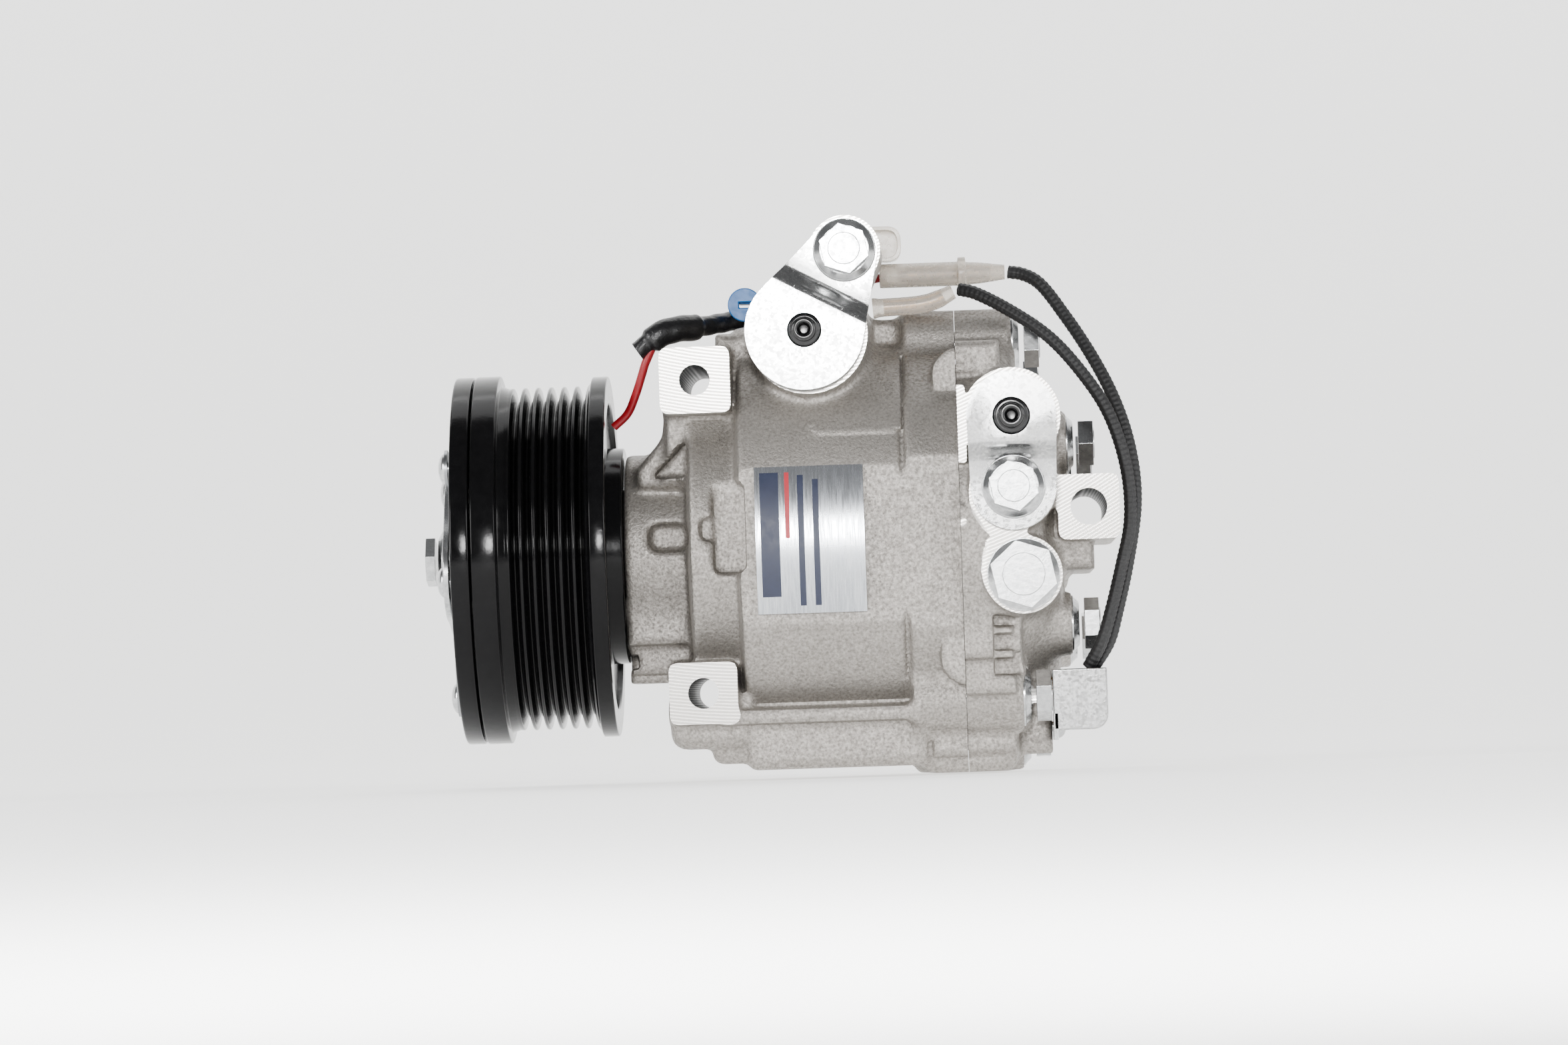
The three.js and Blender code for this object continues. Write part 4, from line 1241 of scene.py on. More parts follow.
def placed(piece: bpy.types.Object, body: str, nodes: Sequence[str] = ()) -> bpy.types.Object:
    """Hands a finished piece over to the frame.

    Args:
        piece: The piece.
        body: The body that it rides on.
        nodes: The frame's nodes that it stands for.

    Returns:
        The same piece.
    """
    if nodes:
        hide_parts(*nodes)
    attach(piece, body)
    LOG.info("%s: %d faces on %s", piece.name, len(piece.data.polygons), body)
    return piece


# ---------------------------------------------------------------------- housings


def on_circle(radius: float, degrees: float) -> Pair:
    """Returns (y, z) on a circle about the shaft, the angle counted from +Z towards -Y."""
    return -radius * math.sin(math.radians(degrees)), radius * math.cos(math.radians(degrees))


def brick(x: Pair, y: Pair, z: Pair, edge: float = 1.5, corner: float = 0.0) -> Form:
    """A block with rounded edges and, seen from the side, rounded corners."""
    return slab("Y", rectangle(x[0], x[1], z[0], z[1], corner), y, edge)


@dataclass
class Port:
    """A refrigerant port: a round boss that looks sideways, with a lug beside it for its cover's bolt.

    x and z are its centre, boss and bore its radii, face and back its ends along Y. lug_x, lug_z and lug
    are the lug's centre and radius, and lug_back its end. disc and arm are the radii of the cover's two
    ends, hole the radius of the cover's hole, stem that of the plug's stem, and bend how far the cover's
    joggle lies from the centre. shift moves the rough boss off the bore's centre.
    """

    name: str
    x: float
    z: float
    boss: float
    bore: float
    face: float
    back: float
    lug_x: float
    lug_z: float
    lug: float
    disc: float
    arm: float
    hole: float
    bend: float
    stem: float
    shift: float = 0.0
    lug_back: float = -14.0

    def forms(self) -> list[Form]:
        """Describes the cast boss and lug, proud of the face by what the mill takes off.

        Returns:
            The forms of boss and lug.
        """
        side = link(self.x, self.z, self.boss * 0.7, self.lug_x, self.lug_z, self.lug, 16)
        centre = (self.x + self.shift, self.z - self.shift)
        return [
            bar("Y", centre, (self.face - 1, self.back), self.boss + 0.5, 0.8),
            slab("Y", side, (self.face - 1, self.lug_back), 0.8),
        ]

    def mill(self) -> bpy.types.Object:
        """Makes the mill's cut over the face.

        Returns:
            The tool.
        """
        reach = self.boss + 3
        across = (min(self.x, self.lug_x) - reach, max(self.x, self.lug_x) + reach)
        up = (min(self.z, self.lug_z) - reach, max(self.z, self.lug_z) + reach)
        return box("mill", across, (self.face - 14, self.face), up, [MILLED])

    def holes(self) -> list[bpy.types.Object]:
        """Makes the port's bore and the lug's thread.

        Returns:
            The tools.
        """
        depth = (self.face - 5, self.face + 20)
        return [
            rod("bore", "Y", (self.x, self.z), (self.face - 5, self.back - 2), self.bore, 48, [BORED]),
            rod("thread", "Y", (self.lug_x, self.lug_z), depth, SMALL_THREAD, 24, [BORED]),
        ]


SUCTION = Port(
    "suction", x=70.9, z=57.3, boss=15.6, bore=7.4, face=-49.5, back=-10, lug_x=82.2, lug_z=78.4, lug=9.6,
    disc=15.9, arm=8.8, hole=4.6, bend=11.4, stem=3.0, shift=0.7,
)
DISCHARGE = Port(
    "discharge", x=125.1, z=32.3, boss=12.6, bore=5.6, face=-57.7, back=-25, lug_x=125.1, lug_z=13.6,
    lug=11.6, disc=11.9, arm=11.4, hole=5.0, bend=9.4, stem=3.2,
)
PERIMETER_BOLTS = [on_circle(56, degrees) for degrees in (16, 138.5, 200, 262, 323)]
SCROLL_BOLTS = [on_circle(34.5, 41.5 + 90 * i) for i in range(4)]
EAR_FRONT, EAR_REAR = -46.0, 36.0
# Radii of the threaded holes for the joint's bolts and for the smaller bolts.
JOINT_THREAD, SMALL_THREAD = 4.3, 3.4
# Where the thermal switch and its guard's screw sit in the rear face, in y and z.
SWITCH_STEM, GUARD_SCREW = (-23.0, -41.0), (-23.0, -50.4)
# Half the width of a block that cuts right across a casting.
WIDE = 100.0


@dataclass
class Ear:
    """A mounting ear: a block that runs right through from front to rear, milled at both ends and bored."""

    x: float
    z: float
    width: float
    height: float
    hole: float

    def form(self) -> Form:
        """Describes the cast block, proud at both ends by what the mill takes off.

        Returns:
            The form.
        """
        w, h = self.width / 2, self.height / 2
        outline = rectangle(self.x - w, self.x + w, self.z - h, self.z + h, 2.4)
        return slab("Y", outline, (EAR_FRONT - 1.6, EAR_REAR + 1.6), 1.5)

    def tools(self) -> list[bpy.types.Object]:
        """Makes the mill's cuts and the hole.

        Returns:
            The tools.
        """
        # The mill runs a little over the block's edges.
        reach = 0.53
        across = (self.x - self.width * reach, self.x + self.width * reach)
        up = (self.z - self.height * reach, self.z + self.height * reach)
        return [
            box("mill", across, (EAR_FRONT - 4, EAR_FRONT), up, [MILLED]),
            box("mill", across, (EAR_REAR, EAR_REAR + 4), up, [MILLED]),
            # The hole's wall takes a colour painted dark for the shade inside the hole.
            rod("hole", "Y", (self.x, self.z), (EAR_FRONT - 5, EAR_REAR + 5), self.hole, 64, [SHADED_HOLE_WALL]),
        ]


@dataclass
class FrontCasting:
    """The front housing: nose, bearing drum, shell and flange in one casting, with two ears and a port."""

    pitch: float = 0.8
    joint: float = 110.68
    upper_ear: Ear = field(default_factory=lambda: Ear(40.9, 45.4, 19, 17.8, 4.1))
    lower_ear: Ear = field(default_factory=lambda: Ear(40.6, -38.4, 18.4, 16.6, 4.1))

    barrel: tuple[Pair, ...] = (
        (-13, 0), (-13, 17.3), (19.8, 17.3), (19.8, 27.4), (36.6, 27.4), (38.2, 45), (50.6, 45), (51.9, 57),
        (94.6, 57), (95.8, 55), (96.8, 57.8), (112, 57.8), (112, 0),
    )
    crown_and_foot: tuple[Feature, ...] = (
        Feature("crown over the drum", brick((46, 58), (-27, 22), (40, 58.6), 3), 3),
        Feature("crown over the shell", brick((51.9, 87.4), (-24, 24), (44, 59.8), 3), 3),
        Feature("crown up to the flange", brick((82, 104), (-19, 14), (44, 61.4), 2.5), 2),
        Feature("foot", brick((51.9, 100.4), (-41, 22), (-59.5, -43), 2.6, 2.5), 1.6),
        Feature("toe", brick((31.3, 54), (-42.6, 30), (-53.4, -38), 4, 5), 1.6),
        Feature("step from toe to foot", brick((42.2, 56), (-38.6, 20), (-57.6, -44), 2.6, 3.4), 1.6),
        Feature("rail along the foot", brick((46, 98), (-45.4, -28), (-47.1, -43.2), 0.9), 1.2),
    )
    panel_radius: float = 57.45
    panel: Form = slab("Y", rectangle(71.3, 118, 30, 78, 2.6), (-60, -8), 0.3)
    far_side: tuple[Feature, ...] = (
        *(Feature("rib", brick((56, 97), (50, 58.5), (z - 2, z + 2), 1.6), 2.5) for z in (-22, 0, 22)),
        Feature("plain boss", bar("Y", (74, 0), (40, 60.5), 9, 1.2), 3),
    )
    gusset: tuple[Pair, ...] = ((23.5, 17.8), (23.5, 22.6), (31.4, 31.5), (33, 38), (40, 38), (40, 17.8))
    pocket: tuple[Pair, ...] = ((27.4, 20.2), (37.6, 30.6), (37.6, 20.2))
    nose: tuple[Feature, ...] = (
        Feature("web", brick((32, 52), (-30, 24), (20, 40), 2), 4),
        Feature("gusset", slab("Y", rounded(gusset, 2.5), (-25, -4), 1.5), 3),
        Feature("upper ledge", brick((19.8, 50), (-22.6, 15), (-24.8, -13), 1.4), 2),
        Feature("lower ledge", brick((19.8, 50), (-17.5, 12), (-35.2, -18), 1.6), 2),
        Feature("pocket in the gusset", slab("Y", rounded(pocket, 1.2), (-45, -19.5), 1.2), 1.2, True),
        Feature("long pocket", slab("Y", rectangle(26.4, 37.2, 0.2, 7.6, 3.2), (-45, -22.5), 1.8), 1.4, True),
        Feature("notch", brick((18.5, 22.2), (-30, -8), (-31.4, -27.4), 0.8), 0.6, True),
        Feature("slot under the ledge", brick((18.5, 30.4), (-30, -14.5), (-36.5, -32.6), 0.8), 0.6, True),
    )
    flange: tuple[Feature, ...] = (
        *(Feature("bolt's boss", bar("X", place, (96.6, 112), 9.5, 1.2), 3) for place in PERIMETER_BOLTS),
        Feature("upper ejector pad", bar("Y", (112, 44.2), (-41.6, -20), 7.8, 0.7), 0.8),
        Feature("lower ejector pad", bar("Y", (112, -30.8), (-52.2, -20), 7.8, 0.7), 0.8),
        Feature("foot under the flange", brick((98.6, 118), (-38, 26), (-61.8, -46), 2.6, 4), 1.6),
        Feature("step beside that foot", brick((101.4, 112), (-40.5, -20), (-57.4, -48), 1.2), 1.4),
    )
    drum: tuple[Feature, ...] = (
        Feature("recess", slab("Y", rectangle(44.4, 53.4, -6.6, 17.6, 2.6), (-60, -41.4), 1.2), 1.2, True),
        Feature("its tongue", slab("Y", rectangle(40.9, 47, 2.1, 8.6, 2.6), (-60, -42.4), 1.0), 1.0, True),
    )
    bore: tuple[Pair, ...] = (
        (-14, 0), (-14, 13), (7, 13), (7, 11), (10, 11), (10, 15), (22.4, 15), (22.4, 14), (46.1, 14),
        (46.1, 27.9), (59.9, 27.9), (59.9, 25), (62, 25), (62, 31.5), (76.4, 31.5), (76.4, 50), (116, 50),
        (116, 0),
    )

    def clay(self) -> Clay:
        """Models the rough casting.

        Returns:
            The casting's clay.
        """
        clay = Clay((-15, -53, -66), (114, 63, 91), self.pitch)
        clay.shape([Feature("barrel", turning(rounded(self.barrel, 1.6, 4, closed=False)), 2)])
        clay.shape(self.crown_and_foot)
        clay.raise_panel(bar("X", (0, 0), (60, 96), self.panel_radius, 0.2), self.panel)
        clay.shape([*self.far_side, *self.nose])
        clay.shape(Feature("ear", ear.form(), 1.8) for ear in (self.upper_ear, self.lower_ear))
        clay.shape(Feature("suction port", form, 3.6) for form in SUCTION.forms())
        clay.shape([*self.flange, *self.drum])
        return clay

    def tools(self) -> list[bpy.types.Object]:
        """Makes what machines it: the joint face, bores, ears, port and threads.

        Returns:
            The tools.
        """
        threads = [rod("thread", "X", p, (98, 116), JOINT_THREAD, 24, [BORED]) for p in PERIMETER_BOLTS]
        return [
            turned("bore", self.bore, 128, finishes=[BORED]),
            box("joint_face", (self.joint, 120), (-WIDE, WIDE), (-WIDE, WIDE), [MILLED]),
            *self.upper_ear.tools(),
            *self.lower_ear.tools(),
            SUCTION.mill(),
            *SUCTION.holes(),
            *threads,
        ]

    def build(self) -> None:
        """Casts, machines and places the housing."""
        casting = machined(self.clay().mesh("front_casting", CAST), self.tools())
        placed(smooth(casting), "housing", ["front_housing"])


@dataclass
class RearCasting:
    """The rear head: a domed cover with the discharge port, the relief valve's boss and the third ear."""

    pitch: float = 0.72
    joint: float = 110.82
    ear: Ear = field(default_factory=lambda: Ear(145.1, 8.1, 16.5, 17.4, 4.9))
    relief: Pair = (127.0, -9.7)
    face: float = -57.8

    head: tuple[Pair, ...] = (
        (109, 0), (109, 57.7), (124.6, 57.7), (125.9, 56), (126.2, 47.5), (132.5, 43.5), (136.5, 39),
        (136.9, 0),
    )
    side: tuple[Feature, ...] = (
        Feature("block at the recess", brick((109, 124), (-53.6, -30), (-31.7, -16), 1.6), 1.6),
        Feature("block below it", brick((109, 124.2), (-50.4, -20), (-41.2, -28), 1.4), 1.6),
        Feature("block over the foot", brick((109, 124), (-39.4, -12), (-56.8, -38), 1.6), 1.6),
        Feature("foot", brick((104, 124), (-37, 26), (-61.8, -46), 2.6, 4), 1.6),
        Feature("recess", brick((118.4, 128), (-62, -47.4), (-30.6, -20), 0.8), 0.8, True),
        Feature("recess below it", brick((118.4, 128), (-62, -44.6), (-36.2, -30), 0.8), 0.8, True),
        Feature("upper rib in it", brick((117, 123.8), (-51.6, -40), (-25.2, -23.2), 0.7), 0.9),
        Feature("lower rib in it", brick((117, 123.8), (-51.0, -40), (-31.6, -29.6), 0.7), 0.9),
        Feature("block under the crown", brick((109, 122.6), (-38, -10), (44, 54), 2.4), 1.2),
        Feature("ejector pad", bar("Y", (110.6, 6.4), (-57.5, -50), 3.0, 0.6), 0.8),
        Feature("stud between the bosses", bar("Y", (125.9, 0.2), (-56.8, -30), 1.9, 0.6), 1),
    )
    arms: tuple[Feature, ...] = (
        Feature("arm to the ear", brick((128, 146.3), (-38, 32), (-8.6, 14), 3), 3),
        Feature("thermal switch's boss", brick((121, 133.6), (-28.4, -10), (-57.6, -36), 2), 3),
    )
    recess: tuple[Pair, ...] = (
        (107, 0), (107, 51.5), (113.4, 51.5), (113.4, 49.7), (116.7, 49.7), (116.7, 30), (127, 30), (127, 0),
    )

    def _rear_face(self) -> list[Feature]:
        """Describes the middle boss and the ribs that tie the scroll bolts' bosses to it.

        Returns:
            The features.
        """
        made = [Feature("middle boss", bar("X", (0, 0), (128, 139.4), 13, 1.6), 3)]
        for y, z in SCROLL_BOLTS:
            made.append(Feature("scroll bolt's boss", bar("X", (y, z), (128, 140), 8.5, 1.0), 2.5))
            made.append(Feature("rib", slab("X", link(0, 0, 2.6, y, z, 2.4, 8), (128, 138.4), 1.4), 2))
        return made

    def clay(self) -> Clay:
        """Models the rough casting, from the dome outwards.

        Returns:
            The casting's clay.
        """
        rough = self.face - 1
        clay = Clay((108, -63, -68), (156, 68, 66), self.pitch)
        clay.shape([Feature("dome", turning(rounded(self.head, 1.8, 4, closed=False)), 2)])
        clay.shape(Feature("bolt's boss", bar("X", p, (109, 126.2), 9.5, 1.2), 3) for p in PERIMETER_BOLTS)
        clay.shape([*self._rear_face(), *self.side, *self.arms, Feature("ear", self.ear.form(), 1.6)])
        clay.shape(Feature("discharge port", form, 2.6) for form in DISCHARGE.forms())
        clay.shape([Feature("web at the joint", brick((109, 113), (rough, -20), (20.5, 41.2), 0.5), 1)])
        clay.shape([Feature("relief valve's boss", bar("Y", self.relief, (rough, -20), 10.4, 0.8), 2.4)])
        return clay

    def tools(self) -> list[bpy.types.Object]:
        """Makes what machines it: faces, seats and bores.

        Returns:
            The tools.
        """
        seats = [rod("seat", "X", place, (125.4, 131), 8.9, 48, [BORED]) for place in PERIMETER_BOLTS]
        seats += [rod("seat", "X", place, (139.1, 156), 8.0, 48, [BORED]) for place in SCROLL_BOLTS]
        holes = [rod("hole", "X", place, (107, 128), JOINT_THREAD, 24, [BORED]) for place in PERIMETER_BOLTS]
        holes += [rod("hole", "X", place, (110, 142), SMALL_THREAD, 24, [BORED]) for place in SCROLL_BOLTS]
        return [
            turned("recess", self.recess, 128, finishes=[BORED]),
            box("joint_face", (100, self.joint), (-WIDE, WIDE), (-WIDE, WIDE), [MILLED]),
            box("mill", (100, 152), (-75, DISCHARGE.face), (-40, 60), [MILLED]),
            *self.ear.tools(),
            *DISCHARGE.holes(),
            *seats,
            *holes,
            rod("relief", "Y", self.relief, (-65, self.face + 14), 5.4, 32, [BORED]),
            rod("switch", "X", SWITCH_STEM, (126, 140), 4.3, 32, [BORED]),
            rod("screw", "X", GUARD_SCREW, (126, 140), 1.8, 16, [BORED]),
        ]

    def build(self) -> None:
        """Casts, machines and places the head."""
        casting = machined(self.clay().mesh("rear_casting", CAST), self.tools())
        placed(smooth(casting), "housing", ["rear_housing"])


# ---------------------------------------------------------------------- port covers


@dataclass
class PortCover:
    """A shipping cover over a port: a pressed plate with a joggle, its bolt and the rubber plug under it."""

    port: Port
    sheet: float = 2.4
    step: float = 3.0
    seat: float = 0.1
    joggle: float = 5.0
    lines: int = 11
    seed: int = 3

    def plate(self) -> None:
        """Makes the plate: its round end over the port stands one step higher than its bolted end."""
        p = self.port
        outline = link(p.x, p.z, p.disc, p.lug_x, p.lug_z, p.arm, 48)
        top = p.face - self.seat
        plate = prism(f"{p.name}_cover_plate", "Y", outline, (top - self.sheet, top), [ZINC])
        holes = [
            rod("hole", "Y", (p.x, p.z), (top - 9, top + 9), p.hole, 64, [ZINC]),
            rod("hole", "Y", (p.lug_x, p.lug_z), (top - 9, top + 9), SMALL_THREAD, 32, [ZINC]),
        ]
        machined(plate, holes)
        centre = Vector((p.x, 0, p.z))
        along = Vector((p.lug_x - p.x, 0, p.lug_z - p.z)).normalized()
        middle = p.bend - 0.2
        start, end = middle - self.joggle / 2, middle + self.joggle / 2

        def press(bm: bmesh.types.BMesh) -> None:
            """Cuts lines across the joggle, then lifts the round end along a smooth step.

            Args:
                bm: The plate.
            """
            lines_across(bm, centre, along, np.linspace(start, end, self.lines))
            for v in bm.verts:
                run = (Vector((v.co.x, 0, v.co.z)) / MM - centre).dot(along)
                t = min(max((run - start) / (end - start), 0.0), 1.0)
                v.co.y -= self.step * MM * (1 - t * t * (3 - 2 * t))

        placed(bevelled(edit(plate, press), 0.45, 3, 40), "housing", [f"{p.name}_cover"])

    def bolt(self) -> None:
        """Makes the plate's bolt."""
        p = self.port
        seat = p.face - self.seat - self.sheet - self.seat
        sizes = {"Across Flats": 12.0, "Flange Radius": 8.4, "Height": 8.0, "Shank Radius": 3.0}
        sizes |= {"Length": 20.0}
        places = [(p.lug_x, seat, p.lug_z)]
        bolt = grown(f"{p.name}_bolt", places, flange_bolt_tree(BOLT), Facing.TO_THE_SIDE, sizes, self.seed)
        placed(bevelled(bolt, 0.25), "housing", [f"{p.name}_cover_bolt"])

    def plug(self) -> None:
        """Makes the rubber plug: a foot in the bore, a collar under the plate and a hollow stem."""
        p = self.port
        high = p.face - self.step - self.seat - self.sheet
        foot, collar = p.bore - 0.5, p.bend - 2.7
        out = high - 6.6
        steps = [(p.face + 8, 0), (p.face + 8, foot), (p.face - 0.2, foot), (p.face - 0.2, collar)]
        steps += [(p.face - self.step + 0.1, collar), (p.face - self.step + 0.1, p.hole - 0.35)]
        steps += [(high - 0.7, p.hole - 0.35), (high - 0.7, p.stem), (out, p.stem)]
        steps += [(out, 1.7), (out + 4, 1.5)]
        profile = rounded([*steps, (out + 4, 0)], 0.6, 4, closed=False)
        plug = turned(f"{p.name}_plug_body", profile, 64, finishes=[RUBBER])
        # The profile was turned about X. The plug's own line runs along Y.
        plug.data.transform(Matrix.Rotation(math.radians(90), 4, "Z"))
        plug.data.transform(Matrix.Translation(Vector((p.x, 0, p.z)) * MM))
        placed(smooth(plug), "housing", [f"{p.name}_plug"])

    def build(self) -> None:
        """Makes the plate, bolt and plug."""
        self.plate()
        self.bolt()
        self.plug()


# ---------------------------------------------------------------------- fasteners


@dataclass
class Fasteners:
    """The bolts of the joint, the bolts of the fixed scroll and the relief valve's plug."""

    flats: float = 12.0
    height: float = 8.0

    def _bolts(
        self, name: str, places: list[Triple], flange: float, shank: Pair, nodes: list[str], seed: int
    ) -> None:
        """Grows a set of flange bolts with their heads at the rear.

        Args:
            name: The piece's name.
            places: Where the heads sit.
            flange: Radius of the flanges.
            shank: Radius and length of the shanks.
            nodes: The frame's nodes that they stand for.
            seed: Seed of the heads' turns.
        """
        sizes = {"Across Flats": self.flats, "Flange Radius": flange, "Height": self.height}
        sizes |= {"Shank Radius": shank[0], "Length": shank[1]}
        bolts = grown(name, places, flange_bolt_tree(BOLT), Facing.REARWARDS, sizes, seed)
        placed(bevelled(bolts, 0.25), "housing", nodes)

    def build(self) -> None:
        """Makes them all."""
        joint = [(125.5, y, z) for y, z in PERIMETER_BOLTS]
        scroll = [(139.2, y, z) for y, z in SCROLL_BOLTS]
        self._bolts("joint_bolts", joint, 8.3, (3.8, 26), [f"housing_bolt_{i + 1}" for i in range(5)], 11)
        self._bolts("scroll_bolts", scroll, 7.6, (3.0, 27), [f"scroll_bolt_{i + 1}" for i in range(4)], 5)
        sizes = {"Across Flats": 16.0, "Flange Radius": 9.7, "Height": 5.6, "Shank Radius": 5.1}
        sizes |= {"Length": 13.0}
        place = (127, -57.9, -9.7)
        relief = grown("relief_plug", [place], flange_bolt_tree(BOLT), Facing.TO_THE_SIDE, sizes, 8)
        placed(bevelled(relief, 0.3, 3), "housing", ["relief_valve"])


# ---------------------------------------------------------------------- clutch


@dataclass
class Clutch:
    """The pulley on its bearing, the coil inside it and the armature that the coil pulls against its face."""

    sides: int = 192
    ribs: int = 6
    pitch: float = 3.56
    crest: float = 46.9
    root: float = 43.1
    rim: float = 50.3
    spring_angles: tuple[float, ...] = (78.0, 198.0, 318.0)
    pivot: float = 19.0
    end: float = 38.0
    sweep: float = 62.0
    front: float = -20.3
    rear: float = 15.7
    armature_x: Pair = (-25.9, -20.8)
    armature_radii: Pair = (26.5, 50.2)
    slot_radii: Pair = (40.4, 42.6)
    slot_reach: float = 43.0
    hub_x: Pair = (-29.9, -28.1)
    leaf_x: Pair = (-27.8, -27.0)

    def _belt(self) -> list[Pair]:
        """Lays out the ribs' profile, crest and root by turns.

        Returns:
            Pairs of x and radius.
        """
        made: list[Pair] = []
        for i in range(self.ribs):
            x = self.pitch * (i - (self.ribs - 1) / 2)
            made += [(x - 0.35, self.root), (x + 0.35, self.root)]
            if i < self.ribs - 1:
                top = x + self.pitch / 2
                made += [(top - 0.42, self.crest), (top + 0.42, self.crest)]
        return made

    def pulley(self) -> None:
        """Turns the pulley: friction face, belt ribs, rear flange, coil tunnel and bearing bore."""
        front, rim, crest = self.front, self.rim, self.crest
        outside = [(front, 29.4), (front, rim), (-13.7, rim), (-13.4, 47.4), (-11.4, crest - 0.2)]
        outside += [(-10.2, crest), *self._belt(), (10.2, crest), (10.9, 47.6), (11.5, 49.3)]
        inside = [(self.rear, 49.3), (self.rear, 41.9), (front + 5.8, 41.9), (front + 5.8, 30.2)]
        inside += [(10.2, 30.2), (10.2, 26.4), (-10.2, 26.4), (-10.2, 24.4), (front + 2.4, 24.4)]
        inside += [(front + 2.4, 29.4)]
        profile = rounded([*outside, *inside], 0.5, 3)
        body = turned("pulley_body", profile, self.sides, finishes=[PAINT])
        placed(smooth(body, 40), "pulley", ["pulley"])

    def coil(self) -> None:
        """Turns the coil's steel shell with its mounting plate."""
        profile = [(-12.4, 31.4), (-12.4, 33.8), (12, 33.8), (12, 38.4), (-12.4, 38.4), (-12.4, 40.8)]
        profile += [(14.4, 40.8), (14.4, 29.5), (19.4, 29.5), (19.4, 18), (12, 18), (12, 31.4)]
        body = turned("coil_body", rounded(profile, 0.6, 3), self.sides, finishes=[PAINT])
        placed(smooth(body, 40), "housing", ["coil_shell"])

    def armature(self) -> None:
        """Makes the armature: a steel ring, painted, with three slots between its spring fixings."""
        (front, rear), (inner, outer) = self.armature_x, self.armature_radii
        profile = [(front, inner), (front, outer), (rear, outer), (rear, inner)]
        plate = turned("armature_body", rounded(profile, 0.7, 3), self.sides, finishes=[PAINT])
        low, high = self.slot_radii
        slots = []
        for degrees in self.spring_angles:
            first, last = degrees - self.slot_reach, degrees + self.slot_reach
            band = arc(0, 0, high, first, last, 40) + arc(0, 0, low, last, first, 40)
            slots.append(prism("slot", "X", band, (-27, -19), [PAINT]))
        placed(smooth(machined(plate, slots), 40), "armature", ["armature_plate"])

    def hub(self) -> None:
        """Makes the hub: a three-lobed plate with a raised middle on a splined sleeve."""
        lobes = []
        for degrees in np.arange(0, 360, 3.0):
            turn = math.radians(degrees)
            radius = 21 + 3.2 * math.cos(math.radians(3 * (degrees - self.spring_angles[0])))
            lobes.append((radius * math.cos(turn), radius * math.sin(turn)))
        plate = prism("hub_plate", "X", lobes, self.hub_x, [BOLT])
        steps = [(-30.5, 3.2), (-30.5, 11), (-29.7, 12), (-14, 12), (-14, 8.4), (-28, 8.4), (-28, 3.2)]
        sleeve = turned("hub_sleeve", steps, 96, finishes=[BOLT])
        hub = joined("hub_body", [bevelled(plate, 0.4), smooth(sleeve)])
        placed(hub, "drive_shaft", ["clutch_hub"])

    def bolt(self) -> None:
        """Makes the bolt that holds the hub on the shaft."""
        sizes = {"Across Flats": 12.0, "Flange Radius": 8.4, "Height": 5.2, "Shank Radius": 2.3}
        sizes |= {"Length": 11.0}
        bolt = grown("hub_bolt_body", [(-30.6, 0, 0)], flange_bolt_tree(BOLT), Facing.FORWARDS, sizes, 2)
        placed(bevelled(bolt, 0.25), "drive_shaft", ["hub_bolt"])

    def _root(self, degrees: float) -> Pair:
        """Returns where a leaf is fixed to the hub, in y and z."""
        a = math.radians(degrees)
        return self.pivot * math.cos(a), self.pivot * math.sin(a)

    def _end(self, degrees: float) -> Pair:
        """Returns where a leaf is fixed to the armature, in y and z."""
        a = math.radians(degrees + self.sweep)
        return self.end * math.cos(a), self.end * math.sin(a)

    def springs(self) -> None:
        """Makes the three flat leaves, each running from the hub to the armature, with lines cut across them.
        """
        for i, degrees in enumerate(self.spring_angles):
            root, end = self._root(degrees), self._end(degrees)
            leaf = prism(f"leaf_{i + 1}", "X", link(*root, 4.5, *end, 5.1, 24), self.leaf_x, [SPRING])
            cuts = [
                rod("hole", "X", root, (-29, -26), 2.2, 32, [SPRING]),
                rod("hole", "X", end, (-29, -26), 2.5, 32, [SPRING]),
            ]
            machined(leaf, cuts)
            foot, tip = Vector((0, *root)), Vector((0, *end))
            way = (tip - foot).normalized()
            smooth(edit(leaf, lambda bm: lines_across(bm, foot, way, np.linspace(3, 32, 16))))
            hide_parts(f"leaf_spring_{i + 1}")
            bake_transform(leaf)
            LOG.info("%s bends between the hub and the armature", leaf.name)

    def rivets(self) -> None:
        """Makes the rivets that hold the leaves, three in the hub and three in the armature."""
        roots = [(self.hub_x[0], *self._root(degrees)) for degrees in self.spring_angles]
        ends = [(self.leaf_x[0], *self._end(degrees)) for degrees in self.spring_angles]
        sizes = {"Head Radius": 4.2, "Height": 1.9, "Shank Radius": 2.1, "Length": 3.3}
        hub = grown("hub_rivets", roots, rivet_tree(BOLT), Facing.FORWARDS, sizes, 1)
        placed(smooth(hub), "drive_shaft")
        sizes |= {"Shank Radius": 2.4, "Length": 3.0}
        rim = grown("armature_rivets", ends, rivet_tree(BOLT), Facing.FORWARDS, sizes, 1)
        placed(smooth(rim), "armature")

    def build(self) -> None:
        """Makes the whole clutch."""
        self.pulley()
        self.coil()
        self.armature()
        self.hub()
        self.bolt()
        self.springs()
        self.rivets()


# ---------------------------------------------------------------------- label


